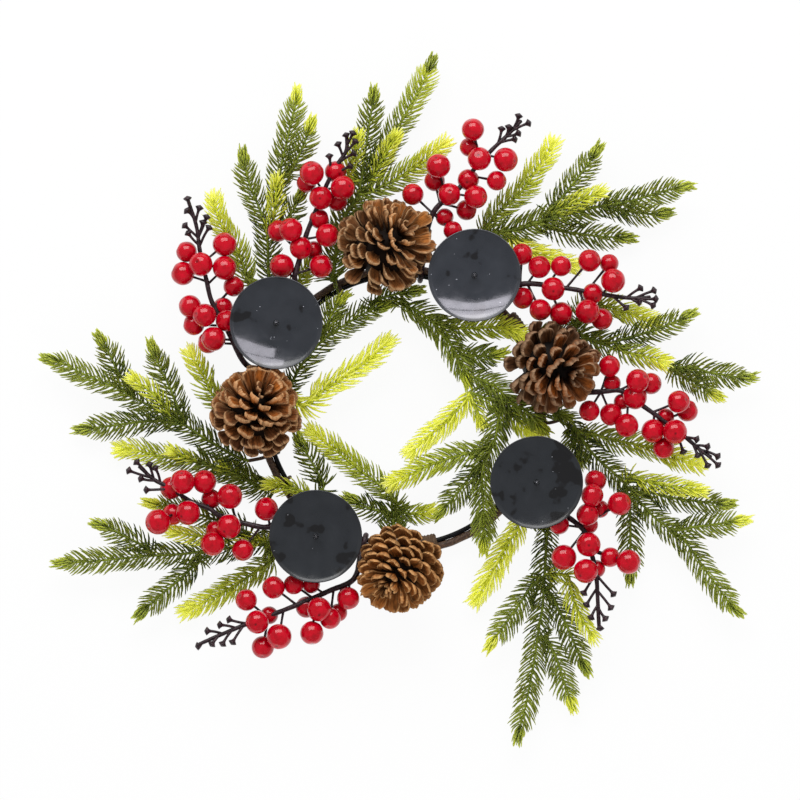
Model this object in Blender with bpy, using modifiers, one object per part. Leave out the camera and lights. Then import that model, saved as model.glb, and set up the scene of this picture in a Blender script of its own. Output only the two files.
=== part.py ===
"""Candle wreath for a table, about 40 cm across: a wire ring with four candle dishes on posts.

Pine picks, sprays of berries and four pinecones are hooked round the ring. Lengths are in metres,
+Z is up, the wreath rests on the flat undersides of its tape sleeves at z = 0, and the origin is
below the middle of its outline.
"""

import math

import bmesh
import bpy
from mathutils import Matrix, Vector

MM = 0.001
CLEARANCE = 0.3 * MM

# Ring: a round wire, and a brown stem that runs beside it on the outside
RING_CENTRE = Vector((0.5 * MM, -6.0 * MM, 0))
RING_RADIUS = 74.4 * MM
WIRE_DIAMETER = 2.4 * MM
STEM_DIAMETER = 3.8 * MM
RING_SEGMENTS = 44
ROD_SIDES = 6

# Tape sleeves round the wire and the stem, flat below, which are the feet
SLEEVE_ANGLES = (15, 37.5, 74, 155, 193.5, 245, 281, 343)
SLEEVE_SPAN = math.radians(8)
SLEEVE_WALL = 2.7 * MM
SLEEVE_SIDES = 10
FOOT_CUT = 0.4 * MM

# Candle dishes, each with a pin and a post
DISH_ANGLES = (145.3, 61.7, -28.3, 235.7)
DISH_OFFSET = 9.5 * MM
DISH_DIAMETER = 51 * MM
DISH_DEPTH = 3.5 * MM
DISH_SHEET = 1.0 * MM
DISH_SEAT_DIAMETER = 19 * MM
DISH_LIP = 0.7 * MM
DISH_STEPS = 20
DISH_SIDE_RISE = 0.3
LIP_UNDERCUT = 1.6
PIN_STEPS = 6
PIN_DIAMETER = 2.6 * MM
PIN_HEIGHT = 12 * MM
PIN_HEAD_DIAMETER = 6.4 * MM
PIN_HEAD_THICKNESS = 0.9 * MM
PIN_TAPER = 0.75
PIN_TAPER_START = 0.6
POST_DIAMETER = 2.6 * MM
POST_BEND = 3.5 * MM
POST_PAD_DIAMETER = 11 * MM
POST_PAD_THICKNESS = 1.2 * MM
POST_PAD_STEPS = 12

# Pine twigs: a flat, toothed form, as wide as its needles reach
PICK_ROD = 2.0 * MM
NEEDLE_REACH = 5.8 * MM
TOOTH_PITCH = 15 * MM
TOOTH_CREST = 0.72
TWIG_FLATNESS = 0.42
TWIG_TAPER = 0.3
TWIG_POINT = 0.12
WAIST = 0.34
TUFT_LENGTH = 13 * MM
TUFT_REACH = 4.4 * MM
TUFT_LEAST_TWIG = 30 * MM
TWIG_LAYER = 5.5 * MM

# Berry sprays
SPRAY_ROD = 2.0 * MM
STALK_DIAMETER = 1.1 * MM
BUD_DIAMETER = 3.0 * MM
LARGEST_BERRY = 14 * MM
BERRY_SWELL = 1.1
STALK_LEAN = 0.6
STALK_SHORTEST = 0.4
BUD_FOOT = 0.7
FRONT_LIFT = 3.5 * MM

# Pinecones
CONE_STALK_DIAMETER = 5 * MM
CONE_STALK_LENGTH = 4 * MM
CONE_CORE_SHARE = 0.4
CONE_CORE_STEPS = 8
CONE_WIRE_DIAMETER = 1.2 * MM
CONE_WIRE_TURNS = 9
CONE_WIRE_STEP = math.radians(36)
CONE_WIRE_DROP = 1.25
SCALE_THICKNESS = 4.2 * MM
SCALE_ROOT_WIDTH = 0.45
SCALE_ROOT_THICKNESS = 0.6
SCALE_SLANT = 0.5
GOLDEN_ANGLE = math.radians(137.508)

# A cone's core: (share of its radius, share of the cone's height), from the top to the stalk
CORE_OUTLINE = ((0, 0.86), (0.5, 0.78), (1, 0.45), (0.75, 0.16))
# The lowest scale's root and tip, and how much higher the topmost scale's are, in cone heights
SCALE_ROOTS = (0.1, 0.62)
SCALE_TIPS = (0.12, 0.84)
# Where the cone is widest, from 0 at its lowest scale to 1 at its topmost, and how fast it narrows
CONE_WIDEST = 0.38
CONE_NARROWING = 0.75
# How much a scale loses towards the cone's top, of the core's width, of its reach and of its size
CORE_LOSS, REACH_LOSS, SCALE_LOSS = 0.4, 0.25, 0.35

# A tuft's outline: (share of its length, share of its reach)
TUFT_OUTLINE = ((0, 0.5), (0.4, 1), (0.8, 0.9), (1, 0.25))

# Sections, one unit wide to each side: a flat blade for a twig, and a slim three-sided stalk
BLADE_CORNERS = ((1, 0), (0, TWIG_FLATNESS), (-1, 0), (0, -TWIG_FLATNESS))
STALK_CORNERS = ((1, -0.6), (0, 1.1), (-1, -0.6))

# What follows from the sizes above
STEM_RADIUS = RING_RADIUS + (WIRE_DIAMETER + STEM_DIAMETER) / 2 + CLEARANCE
BUNDLE_INNER = RING_RADIUS - WIRE_DIAMETER / 2
BUNDLE_OUTER = STEM_RADIUS + STEM_DIAMETER / 2
BUNDLE_RADIUS = (BUNDLE_INNER + BUNDLE_OUTER) / 2
BUNDLE_HALF = (BUNDLE_OUTER - BUNDLE_INNER) / 2
SLEEVE_LENGTH = BUNDLE_RADIUS * SLEEVE_SPAN
SLEEVE_SAG = SLEEVE_LENGTH**2 / (8 * BUNDLE_RADIUS)
SLEEVE_BORE = BUNDLE_HALF + CLEARANCE + SLEEVE_SAG
SLEEVE_OUTER = SLEEVE_BORE + SLEEVE_WALL
RING_HEIGHT = SLEEVE_OUTER - FOOT_CUT
TWIG_HALF_HEIGHT = NEEDLE_REACH * TWIG_FLATNESS
HOOK_TOP = RING_HEIGHT + BUNDLE_HALF + CLEARANCE + PICK_ROD / 2
LOW = RING_HEIGHT
MIDDLE = HOOK_TOP + 1.5 * MM
HIGH = MIDDLE + TWIG_LAYER
BERRY_LEVEL = MIDDLE + TWIG_HALF_HEIGHT + LARGEST_BERRY / 2 + CLEARANCE
DISH_UNDERSIDE = BERRY_LEVEL + LARGEST_BERRY / 2 + 2 * MM
PIN_UNDERSIDE = -CLEARANCE - PIN_HEAD_THICKNESS
CONE_BASE = HOOK_TOP + 2.5 * MM

# The forms of a twig's end
TUFTED, PLAIN = "tufted", "plain"

# The layout's points were chosen on a ring of this radius, and move in or out with the real one.
LAYOUT_RADIUS = 74.4 * MM

# Each cone: its middle, in mm, its diameter and height, its lean from upright and the lean's
# direction in degrees, its number of scales, their width at the tip and the first one's turn.
CONES = (
    ((-7.7, 85.3), 55, 46, 34, 44, 28, 11.5, 60),
    ((-79.4, -5.9), 54, 46, 29, 71, 28, 11.5, 0),
    ((84.2, 17.3), 54, 46, 40, -26, 26, 8.5, 124),
    ((-1.4, -94.0), 50, 44, 42, 234, 28, 10.5, 0),
)

# Each pine pick: the ring angle that it is hooked on at, 1 to leave outwards or -1 inwards, the
# level of its stem, the stem's points, and its twigs as (form, level at the tip, points), in mm.
# A tufted twig ends in a bud of needles, and a plain one in a point.
PICKS = (
    (138, 1, MIDDLE, ((-72, 62),), (
        (TUFTED, MIDDLE, ((-73, 69), (-74, 93), (-78, 105), (-83, 117), (-87.5, 140))),
        (PLAIN, HIGH, ((-72, 88), (-70, 100), (-68.5, 123))),
        (TUFTED, MIDDLE, ((-70, 105), (-66, 128), (-63, 141), (-58, 163), (-57, 174))),
        (TUFTED, HIGH, ((-63.5, 123), (-59.5, 127.5), (-51, 147), (-48, 157))),
        (TUFTED, MIDDLE, ((-66, 95), (-60, 103), (-52, 118))),
        (PLAIN, MIDDLE, ((-74, 61), (-83, 62), (-90.5, 83), (-99, 96), (-103.5, 113))),
        (PLAIN, MIDDLE, ((-60, 60), (-48, 78))),
    )),
    (117, 1, MIDDLE, ((-38, 65), (-32, 98), (-24, 111)), (
        (TUFTED, MIDDLE, ((-21.5, 122), (-18.5, 144), (-15.5, 163), (-15, 174))),
        (TUFTED, MIDDLE, ((-20, 119), (-9, 136), (1.5, 155), (13.5, 177), (19, 191))),
        (PLAIN, HIGH, ((-16.5, 120), (-7, 138), (-1.5, 147))),
        (PLAIN, MIDDLE, ((-20.5, 112.5), (-1.5, 122), (17.5, 135), (26, 142.5))),
        (PLAIN, HIGH, ((-29, 122), (-26, 134), (-23, 147))),
    )),
    (66, 1, MIDDLE, ((50, 90), (66, 94), (80, 99), (100, 104)), (
        (PLAIN, MIDDLE, ((44.5, 90.5), (54, 103), (73, 124), (85, 143))),
        (TUFTED, MIDDLE, ((82, 104), (89, 111.5), (99, 124), (111, 142))),
        (PLAIN, HIGH, ((84.5, 103), (94, 107.5), (112, 114.5))),
        (TUFTED, HIGH, ((103, 105), (119, 107.5), (141.5, 113.5), (153, 116.5), (162.5, 117))),
        (TUFTED, LOW, ((110, 105), (122.5, 104), (143.5, 102), (151.5, 104))),
        (TUFTED, LOW, ((77.5, 96), (86.5, 93), (99, 91), (131, 88))),
        (PLAIN, LOW, ((60, 88), (75, 80), (98, 73))),
    )),
    (28, 1, MIDDLE, ((96, 36), (103.5, 33), (113, 30)), (
        (PLAIN, LOW, ((100, 50), (115, 51), (132, 45), (142.5, 42))),
        (TUFTED, MIDDLE, ((122.5, 33), (138, 37.5), (154, 44), (164.5, 48.5))),
        (PLAIN, HIGH, ((119, 28), (127.5, 25), (147.5, 19))),
        (TUFTED, MIDDLE, ((151, 17.5), (161, 17.5), (180, 13), (197.5, 13))),
        (TUFTED, LOW, ((148, 17), (161, 10), (170, 4), (179.5, -0.5))),
    )),
    (-5, 1, MIDDLE, ((92, -10),), (
        (TUFTED, MIDDLE, ((94, -12), (107.5, -32), (124.5, -48), (146.5, -70.5), (163.5, -88), (190, -120))),
        (PLAIN, MIDDLE, ((99, -17.5), (117, -22.5), (138, -27), (166.5, -37))),
        (PLAIN, HIGH, ((126.5, -42.5), (136, -45.5), (156, -49), (167.5, -51))),
        (TUFTED, MIDDLE, ((134, -51), (146.5, -54), (175, -57.5), (186, -57.5))),
        (TUFTED, MIDDLE, ((148, -71.5), (161, -70.5), (180, -68), (194, -66))),
        (TUFTED, LOW, ((122, -48), (126, -60), (126.5, -75), (126.5, -104))),
        (TUFTED, LOW, ((94, -15), (95, -24.5), (100, -36))),
    )),
    (-41, 1, LOW, ((80, -66),), (
        (TUFTED, MIDDLE, ((80.5, -71.5), (79.5, -91.5), (78, -114.5), (73, -147), (66.5, -177), (63.5, -191.5))),
        (TUFTED, MIDDLE, ((78, -97.5), (67, -110.5), (56, -126), (46, -140))),
        (TUFTED, MIDDLE, ((82.5, -107), (91, -124), (99, -143), (104.5, -153.5))),
        (TUFTED, LOW, ((79.5, -132), (86.5, -145), (92, -162), (96, -174))),
        (PLAIN, HIGH, ((92, -97.5), (95, -110.5), (107, -132.5))),
        (PLAIN, LOW, ((63.5, -72.5), (54, -89), (45.5, -104), (40, -112.5))),
    )),
    (90, -1, MIDDLE, ((0.5, 56),), (
        (TUFTED, HIGH, ((0.5, 52), (8, 49), (23.5, 35.5), (32, 21.5), (37.5, 4))),
        (PLAIN, HIGH, ((36, -0.5), (24.5, -13), (11, -24.5), (3.5, -31))),
        (PLAIN, HIGH, ((38.5, 0.5), (41.5, -5.5), (45, -15))),
        (PLAIN, HIGH, ((17.5, 44), (27, 39.5), (56, 39.5), (69.5, 35))),
        (TUFTED, HIGH, ((34, 24.5), (44.5, 23.5), (60, 28))),
        (TUFTED, HIGH, ((37, 14), (54, 5), (71, -8), (83, -20))),
        (PLAIN, HIGH, ((56, 0), (54, -10), (45.5, -34), (45.5, -62.5), (45.5, -87))),
        (PLAIN, HIGH, ((49, -25.5), (32, -31), (13, -37.5), (-8, -47))),
        (TUFTED, HIGH, ((42.5, -37), (29, -54), (17.5, -67))),
    )),
    (266, -1, LOW, ((-4, -62),), (
        (PLAIN, LOW, ((-2.5, -57), (-15.5, -44.5), (-36.5, -28), (-51.5, -16.5))),
        (TUFTED, LOW, ((-9, -62.5), (-24.5, -57), (-33, -52))),
        (PLAIN, LOW, ((0.5, -62.5), (10, -63.5), (19.5, -61.5))),
    )),
    (174, -1, MIDDLE, ((-66, 3),), (
        (PLAIN, HIGH, ((-52.5, -3.5), (-42.5, 5), (-28, 14.5), (-5, 33.5))),
        (TUFTED, HIGH, ((-58.5, 12), (-49, 26), (-34.5, 38.5), (-18.5, 48), (-3.5, 53))),
        (PLAIN, HIGH, ((-43, 32), (-39.5, 46), (-36, 60))),
        (TUFTED, HIGH, ((-16.5, 53), (-1.5, 58), (14, 60.5))),
    )),
    (225, -1, MIDDLE, ((-48, -54),), (
        (TUFTED, MIDDLE, ((-42.5, -48), (-50, -33), (-58, -17))),
        (PLAIN, MIDDLE, ((-56, -50), (-64, -48.5))),
    )),
    (199, 1, MIDDLE, ((-84, -34),), (
        (TUFTED, MIDDLE, ((-90.5, -32), (-108.5, -21.5), (-127.5, -9), (-156, 6), (-176.5, 14.5), (-199.5, 23.5))),
        (TUFTED, MIDDLE, ((-147, 0), (-155.5, 14), (-163, 29), (-169, 38))),
        (TUFTED, MIDDLE, ((-119, -14), (-125, 0.5), (-132.5, 16.5), (-139, 34))),
        (PLAIN, HIGH, ((-125.5, -8), (-137, 3.5), (-150, 12.5))),
        (TUFTED, LOW, ((-119, -14), (-133.5, -12), (-152.5, -13.5), (-182, -17.5))),
    )),
    (211, 1, LOW, ((-76, -49), (-90, -42), (-110, -35)), (
        (PLAIN, LOW, ((-130.5, -32), (-139, -30), (-157.5, -28))),
        (PLAIN, MIDDLE, ((-112, -35), (-121, -31), (-128, -28))),
        (PLAIN, LOW, ((-84, -44.5), (-92.5, -38.5), (-100, -36))),
    )),
    (230, 1, MIDDLE, ((-75, -80),), (
        (TUFTED, MIDDLE, ((-80, -80.5), (-106.5, -83.5), (-141, -86.5), (-160, -88.5), (-193.5, -91))),
        (TUFTED, MIDDLE, ((-135.5, -85), (-146.5, -78.5), (-160, -71.5), (-172, -67))),
        (TUFTED, MIDDLE, ((-110.5, -89), (-122, -99.5), (-133.5, -109), (-148, -122))),
        (PLAIN, LOW, ((-70, -88), (-82, -96.5), (-97, -106), (-121.5, -118))),
        (TUFTED, MIDDLE, ((-84, -74), (-110, -64), (-131.5, -59), (-144, -56))),
        (PLAIN, HIGH, ((-100, -77), (-116, -75), (-128, -72.5))),
    )),
    (180, 1, MIDDLE, ((-86, -7),), (
        (PLAIN, MIDDLE, ((-95, -5), (-105, 4), (-111.5, 17.5), (-117, 27))),
    )),
)

# Each berry spray: its ring angle, its stem's points, its berries as (x, y, diameter, lift) and
# the buds past its end, in mm. The lift counts from the level of the lower berries.
SPRAYS = (
    (165, (
        (-86.5, 20.5), (-94.5, 36), (-104, 53.5), (-107, 65.5), (-110.5, 81), (-112.5, 95), (-117, 109),
    ), (
        (-118, 81, 11.5, 1), (-97, 85, 13.3, 1), (-110, 74, 13.3, 1), (-97, 72, 13.3, 1),
        (-120, 69, 13, 1), (-92, 62, 11.5, 0), (-116, 51, 12.5, 1), (-98, 50.5, 11, 0),
        (-108, 46, 13, 1), (-96, 43, 12, 0), (-114, 41, 12, 0), (-103, 33, 13.5, 1), (-106, 31, 12, 0),
    ), ((-117.5, 111), (-110.5, 106), (-105, 95), (-119.5, 96))),
    (131, ((-58.5, 65.5), (-56, 76), (-52, 90.5), (-49, 98), (-41, 117.5), (-34.5, 129.5), (-30, 146)), (
        (-49, 124, 13.5, 1), (-52, 119, 11, 0), (-36, 125, 12, 0), (-44, 110.5, 13, 1),
        (-32, 116, 13.5, 1), (-35, 109, 11.5, 0), (-45, 99, 11, 0), (-67.5, 92.5, 12, 1),
        (-60.5, 93, 13, 1), (-40.5, 90, 13, 0), (-55, 83, 12.5, 1), (-48, 82, 10, 0),
        (-65.5, 73, 13.5, 0), (-44, 73, 13, 0),
    ), ((-26, 147), (-35, 141), (-39.5, 134.5), (-25, 135.5))),
    (82, ((17.5, 102), (33, 117), (39.5, 125.5), (50, 137), (59.5, 146), (66, 153)), (
        (39.5, 148, 12.5, 1), (37.5, 138.5, 10.5, 0), (43, 132, 13, 1), (57.5, 131.5, 13.5, 1),
        (20.5, 128, 13.5, 1), (18.5, 120, 11.5, 0), (37, 120.5, 12, 0), (52.5, 120, 11, 1),
        (6.5, 112.5, 12, 0), (26.5, 112.5, 12.5, 1), (41, 111, 13, 1), (36, 104, 11.5, 0),
        (24, 100, 10, 0), (28.5, 92.5, 10.5, 0),
    ), ((65, 156.5), (71, 152), (65.5, 146.5), (55.5, 149.5))),
    (47, ((65.5, 63), (90, 61), (111, 57.5), (126.5, 55.5), (137, 56)), (
        (66.5, 79.5, 12, 0), (76, 72.5, 12.5, 1), (88, 73, 11.5, 1), (103.5, 76, 12.5, 1),
        (114.5, 74.5, 10.5, 0), (116.5, 65, 13.5, 1), (83.5, 60.5, 13, 1), (105.5, 58, 11.5, 0),
        (67, 55.5, 12, 0), (76.5, 49, 12, 1), (88, 47, 13, 0), (102.5, 48, 13.5, 1), (110.5, 44, 12, 0),
    ), ((132.5, 61.5), (140, 60), (139.5, 51), (124.5, 49.5))),
    (6, ((110, 4), (121, 4.5), (134, -4.5), (144.5, -12), (157, -21.5), (170.5, -32)), (
        (114.5, 18, 12, 0), (116, 8.5, 10, 0), (130, 10, 13, 1), (137.5, 8.5, 12, 0),
        (128.5, 1, 13.5, 1), (152.5, -1.5, 12.5, 1), (157.5, -6.5, 12, 0), (103.5, -6.5, 11.5, 0),
        (115.5, -8.5, 12.5, 1), (124, -14.5, 13, 1), (145.5, -10, 10, 0), (138.5, -17.5, 13, 1),
        (150.5, -18, 13.5, 1), (144.5, -27, 12, 1), (121.5, -1.5, 9, 0),
    ), ((163.5, -22.5), (175, -32), (169, -37.5), (155.5, -30))),
    (-34, ((99, -70.5), (105, -86), (107.5, -99), (108, -107), (108.5, -118), (109, -127)), (
        (107, -45, 12, 0), (105, -53, 12.5, 1), (102.5, -63.5, 12.5, 1), (120, -57.5, 13, 1),
        (109.5, -60.5, 10, 0), (87, -69, 11, 0), (103, -69, 11, 0), (103, -80, 13.5, 1),
        (115, -87, 11, 1), (125, -89.5, 13.5, 1), (89.5, -87, 14, 1), (101.5, -94.5, 13.5, 1),
        (107.5, -93.5, 10, 0),
    ), ((100, -107.5), (117.5, -108), (104, -121), (113, -121.5))),
    (254, ((-26, -99), (-39.5, -105.5), (-55.5, -112.5), (-72, -119), (-85.5, -124), (-112.5, -135.5)), (
        (-85, -110.5, 12, 1), (-70, -103.5, 12.5, 1), (-79, -122.5, 13, 1), (-76, -136.5, 12.5, 1),
        (-72.5, -119, 10, 0), (-67, -130.5, 14, 1), (-59, -102, 11, 0), (-49.5, -102, 10, 0),
        (-52, -114.5, 12, 0), (-45, -115.5, 13.5, 1), (-39, -120.5, 12, 1), (-34.5, -117.5, 10, 0),
        (-29, -109.5, 12.5, 0), (-49, -128.5, 13, 1),
    ), ((-95.5, -121), (-107.5, -127.5), (-104.5, -135.5), (-93, -134.5))),
    (219.5, (
        (-72, -70), (-85.5, -68.5), (-100, -64), (-116, -56), (-126.5, -49), (-135.5, -44.5), (-144, -37),
    ), (
        (-120, -45.5, 13.5, 1), (-108, -45.5, 13, 1), (-126.5, -49, 12.5, 0), (-94, -53.5, 14, 1),
        (-104.5, -55, 11, 0), (-74, -60.5, 13, 0), (-117, -62.5, 13.5, 1), (-125.5, -63.5, 12, 0),
        (-133.5, -67.5, 14, 1), (-94.5, -70, 13.5, 1), (-103.5, -79.5, 13.5, 1), (-87, -83, 12, 0),
        (-102, -72.5, 11, 0),
    ), ((-146, -34), (-150.5, -39), (-138.5, -35), (-141, -50))),
)

COLOURS = {
    "black_metal": ((0.012, 0.012, 0.014), 0.25, 0.8),
    "brown_stem": ((0.09, 0.045, 0.026), 0.6, 0.0),
    "brown_tape": ((0.11, 0.07, 0.04), 0.85, 0.0),
    "black_enamel": ((0.02, 0.022, 0.025), 0.12, 0.3),
    "pin_steel": ((0.05, 0.05, 0.055), 0.3, 0.9),
    "pine": ((0.08, 0.13, 0.02), 0.5, 0.0),
    "berry": ((0.55, 0.005, 0.012), 0.15, 0.0),
    "cone": ((0.16, 0.075, 0.03), 0.65, 0.0),
}


def collection(name):
    made = bpy.data.collections.new(name)
    bpy.context.scene.collection.children.link(made)
    return made


def material(name, kind):
    colour, roughness, metallic = COLOURS[kind]
    made = bpy.data.materials.new(name + "_finish")
    made.use_nodes = True
    shader = made.node_tree.nodes["Principled BSDF"]
    shader.inputs["Base Color"].default_value = (*colour, 1)
    shader.inputs["Roughness"].default_value = roughness
    shader.inputs["Metallic"].default_value = metallic
    made.diffuse_color = (*colour, 1)
    return made


def part(name, mesh, kind, smooth=0):
    """The mesh as a named object of the wreath, smooth across edges under `smooth` degrees."""
    made = bpy.data.objects.new(name, mesh)
    WREATH.objects.link(made)
    mesh.materials.clear()
    mesh.materials.append(material(name, kind))
    if smooth:
        mesh.shade_smooth()
        mesh.set_sharp_from_angle(angle=math.radians(smooth))
    return made


def evaluated_mesh(made):
    """The object's evaluated mesh with its loose caps welded, and the object removed."""
    graph = bpy.context.evaluated_depsgraph_get()
    mesh = bpy.data.meshes.new_from_object(made.evaluated_get(graph))
    mesh.transform(made.matrix_world)
    work = bmesh.new()
    work.from_mesh(mesh)
    bmesh.ops.remove_doubles(work, verts=work.verts, dist=1e-6)
    bmesh.ops.recalc_face_normals(work, faces=work.faces)
    work.to_mesh(mesh)
    work.free()
    bpy.data.objects.remove(made, do_unlink=True)
    return mesh


def curve_mesh(runs, corners=None, sides=4):
    """Closed tubes along runs of (point, half-width), round or with a section of these corners."""
    data = bpy.data.curves.new("run", "CURVE")
    data.dimensions = "3D"
    data.use_fill_caps = True
    profile = None
    if corners:
        profile = section_profile(corners)
        data.bevel_mode = "OBJECT"
        data.bevel_object = profile
        data.twist_mode = "Z_UP"
    else:
        data.bevel_depth = 1
        data.bevel_resolution = sides // 2 - 2
    for run in runs:
        spline = data.splines.new("POLY")
        spline.points.add(len(run) - 1)
        for spot, (point, half_width) in zip(spline.points, run):
            spot.co = (*point, 1)
            spot.radius = half_width
    made = bpy.data.objects.new("run", data)
    GUIDES.objects.link(made)
    mesh = evaluated_mesh(made)
    if profile:
        bpy.data.objects.remove(profile, do_unlink=True)
    return mesh


def section_profile(corners):
    """A closed outline of these corners, one unit wide to each side, that a tube is drawn with."""
    data = bpy.data.curves.new("section_profile", "CURVE")
    data.dimensions = "2D"
    outline = data.splines.new("POLY")
    outline.points.add(len(corners) - 1)
    for spot, corner in zip(outline.points, corners):
        spot.co = (*corner, 0, 1)
    outline.use_cyclic_u = True
    made = bpy.data.objects.new("section_profile", data)
    made.hide_render = True
    GUIDES.objects.link(made)
    return made


def fused(name, kind, first, others, smooth=0):
    """One closed body: the first mesh with all the others, which may cross each other."""
    work = bmesh.new()
    for mesh in others:
        work.from_mesh(mesh)
    rest = bpy.data.meshes.new(name + "_rest")
    work.to_mesh(rest)
    work.free()
    joined = bpy.data.objects.new(name + "_rest", rest)
    GUIDES.objects.link(joined)
    base = bpy.data.objects.new(name + "_base", first)
    GUIDES.objects.link(base)
    union = base.modifiers.new("union", "BOOLEAN")
    union.operation = "UNION"
    union.solver = "EXACT"
    union.use_self = True
    union.object = joined
    mesh = evaluated_mesh(base)
    bpy.data.objects.remove(joined, do_unlink=True)
    return part(name, mesh, kind, smooth)


def radial(angle):
    return Vector((math.cos(math.radians(angle)), math.sin(math.radians(angle)), 0))


def on_ring(angle, radius, height):
    return RING_CENTRE + radial(angle) * radius + Vector((0, 0, height))


def placed(point, height):
    """A layout point, in mm, moved in or out as far as the ring is from the layout's own."""
    spot = Vector((point[0], point[1], 0)) * MM
    outwards = (spot - RING_CENTRE).normalized()
    spot += outwards * (RING_RADIUS - LAYOUT_RADIUS)
    spot.z = height
    return spot


def hook(angle, rod, side, first=310, last=90):
    """Points of a rod bent round the wire and the stem, which leaves outwards where side is 1."""
    middle = on_ring(angle, BUNDLE_RADIUS, RING_HEIGHT)
    reach = BUNDLE_HALF + CLEARANCE + rod / 2
    turns = [first] + [turn for turn in (270, 225, 180, 135, 90) if turn >= last]
    points = []
    for turn in turns:
        across = math.cos(math.radians(turn)) * side
        up = math.sin(math.radians(turn))
        points.append(middle + radial(angle) * across * reach + Vector((0, 0, up * reach)))
    return points


def length_of(path):
    return sum((b - a).length for a, b in zip(path, path[1:]))


def along(path, distance):
    """The point this far along the path."""
    for a, b in zip(path, path[1:]):
        step = (b - a).length
        if distance <= step:
            return a.lerp(b, distance / step)
        distance -= step
    return path[-1].copy()


def nearest(path, spot):
    """(distance along the path, gap) of the path's point that is nearest seen from above."""
    best = (0.0, float("inf"))
    done = 0.0
    for a, b in zip(path, path[1:]):
        run = (b - a).to_2d()
        share = (spot - a).to_2d().dot(run) / max(run.length_squared, 1e-12)
        share = min(1, max(0, share))
        gap = (a.lerp(b, share) - spot).to_2d().length
        if gap < best[1]:
            best = (done + share * (b - a).length, gap)
        done += (b - a).length
    return best


def toothed(path, reach, form):
    """Stations of a twig: each tooth widens towards the tip and then falls back to the waist."""
    total = length_of(path)
    tufted = form == TUFTED and total > TUFT_LEAST_TWIG
    toothed_length = total - TUFT_LENGTH if tufted else total
    teeth = max(2, round(toothed_length / TOOTH_PITCH))
    pitch = toothed_length / teeth
    run = []
    for tooth in range(teeth):
        for share, width in ((0, WAIST), (TOOTH_CREST, 1)):
            distance = (tooth + share) * pitch
            taper = 1 - TWIG_TAPER * (distance / total) ** 3
            run.append((along(path, distance), reach * width * taper))
    if tufted:
        for share, width in TUFT_OUTLINE:
            run.append((along(path, toothed_length + TUFT_LENGTH * share), TUFT_REACH * width))
    else:
        run.append((path[-1], reach * TWIG_POINT))
    return run


def make_rings():
    for name, radius, rod, kind in (
        ("wire_ring", RING_RADIUS, WIRE_DIAMETER, "black_metal"),
        ("stem_ring", STEM_RADIUS, STEM_DIAMETER, "brown_stem"),
    ):
        bpy.ops.mesh.primitive_torus_add(
            major_segments=RING_SEGMENTS,
            minor_segments=ROD_SIDES,
            major_radius=radius,
            minor_radius=rod / 2,
            location=on_ring(0, 0, RING_HEIGHT),
        )
        part(name, evaluated_mesh(bpy.context.object), kind, 50)


def make_sleeve(name, angle):
    """A short tube of wound tape, cut flat below where it stands."""
    data = bpy.data.curves.new(name, "CURVE")
    data.dimensions = "2D"
    data.fill_mode = "BOTH"
    data.extrude = SLEEVE_LENGTH / 2
    flat = math.acos((SLEEVE_OUTER - FOOT_CUT) / SLEEVE_OUTER)
    sides = SLEEVE_SIDES
    for radius, start, end in (
        (SLEEVE_OUTER, flat - math.pi / 2, 1.5 * math.pi - flat),
        (SLEEVE_BORE / math.cos(math.pi / sides), 0, 2 * math.pi * (1 - 1 / sides)),
    ):
        outline = data.splines.new("POLY")
        outline.points.add(sides - 1)
        for step, spot in enumerate(outline.points):
            turn = start + (end - start) * step / (sides - 1)
            spot.co = (radius * math.cos(turn), radius * math.sin(turn), 0, 1)
        outline.use_cyclic_u = True
    made = bpy.data.objects.new(name, data)
    GUIDES.objects.link(made)
    across, upwards = radial(angle), Vector((0, 0, 1))
    turned = Matrix((across, upwards, across.cross(upwards))).transposed().to_4x4()
    made.matrix_world = Matrix.Translation(on_ring(angle, BUNDLE_RADIUS, RING_HEIGHT)) @ turned
    bpy.context.view_layer.update()
    part(name, evaluated_mesh(made), "brown_tape", 40)


def turned(name, kind, outline, steps, place, closed=False, smooth=35):
    """A turned shape from an outline of (radius, height) that runs down its outer side."""
    mesh = bpy.data.meshes.new(name)
    points = [(radius, 0, height) for radius, height in outline]
    edges = [(i, i + 1) for i in range(len(points) - 1)]
    if closed:
        edges.append((len(points) - 1, 0))
    mesh.from_pydata(points, edges, [])
    made = bpy.data.objects.new(name, mesh)
    GUIDES.objects.link(made)
    screw = made.modifiers.new("turn", "SCREW")
    screw.steps = screw.render_steps = steps
    screw.use_merge_vertices = True
    screw.merge_threshold = 1e-6
    mesh = evaluated_mesh(made)
    mesh.transform(place)
    if kind is None:
        return mesh
    return part(name, mesh, kind, smooth)


def dish_outline():
    """The dish's section: flat seat, rising side, rolled lip and underside, with a centre hole."""
    hole = PIN_DIAMETER / 2 + CLEARANCE
    seat, rim = DISH_SEAT_DIAMETER / 2, DISH_DIAMETER / 2
    side = (seat + rim) / 2
    floor = DISH_SHEET
    top = floor + DISH_DEPTH
    return (
        (hole, floor),
        (seat, floor),
        (side, floor + DISH_DEPTH * DISH_SIDE_RISE),
        (rim - DISH_LIP, top),
        (rim, top - DISH_LIP),
        (rim - DISH_LIP, top - LIP_UNDERCUT * DISH_LIP),
        (side, DISH_DEPTH * DISH_SIDE_RISE),
        (seat, 0),
        (hole, 0),
    )


def pin_outline():
    """A nail through the dish: its point over the seat, and its head under the dish."""
    shank, head = PIN_DIAMETER / 2, PIN_HEAD_DIAMETER / 2
    return (
        (0, DISH_SHEET + PIN_HEIGHT),
        (shank * PIN_TAPER, DISH_SHEET + PIN_HEIGHT * PIN_TAPER_START),
        (shank, DISH_SHEET),
        (shank, -CLEARANCE),
        (head, -CLEARANCE),
        (head, PIN_UNDERSIDE),
        (0, PIN_UNDERSIDE),
    )


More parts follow.
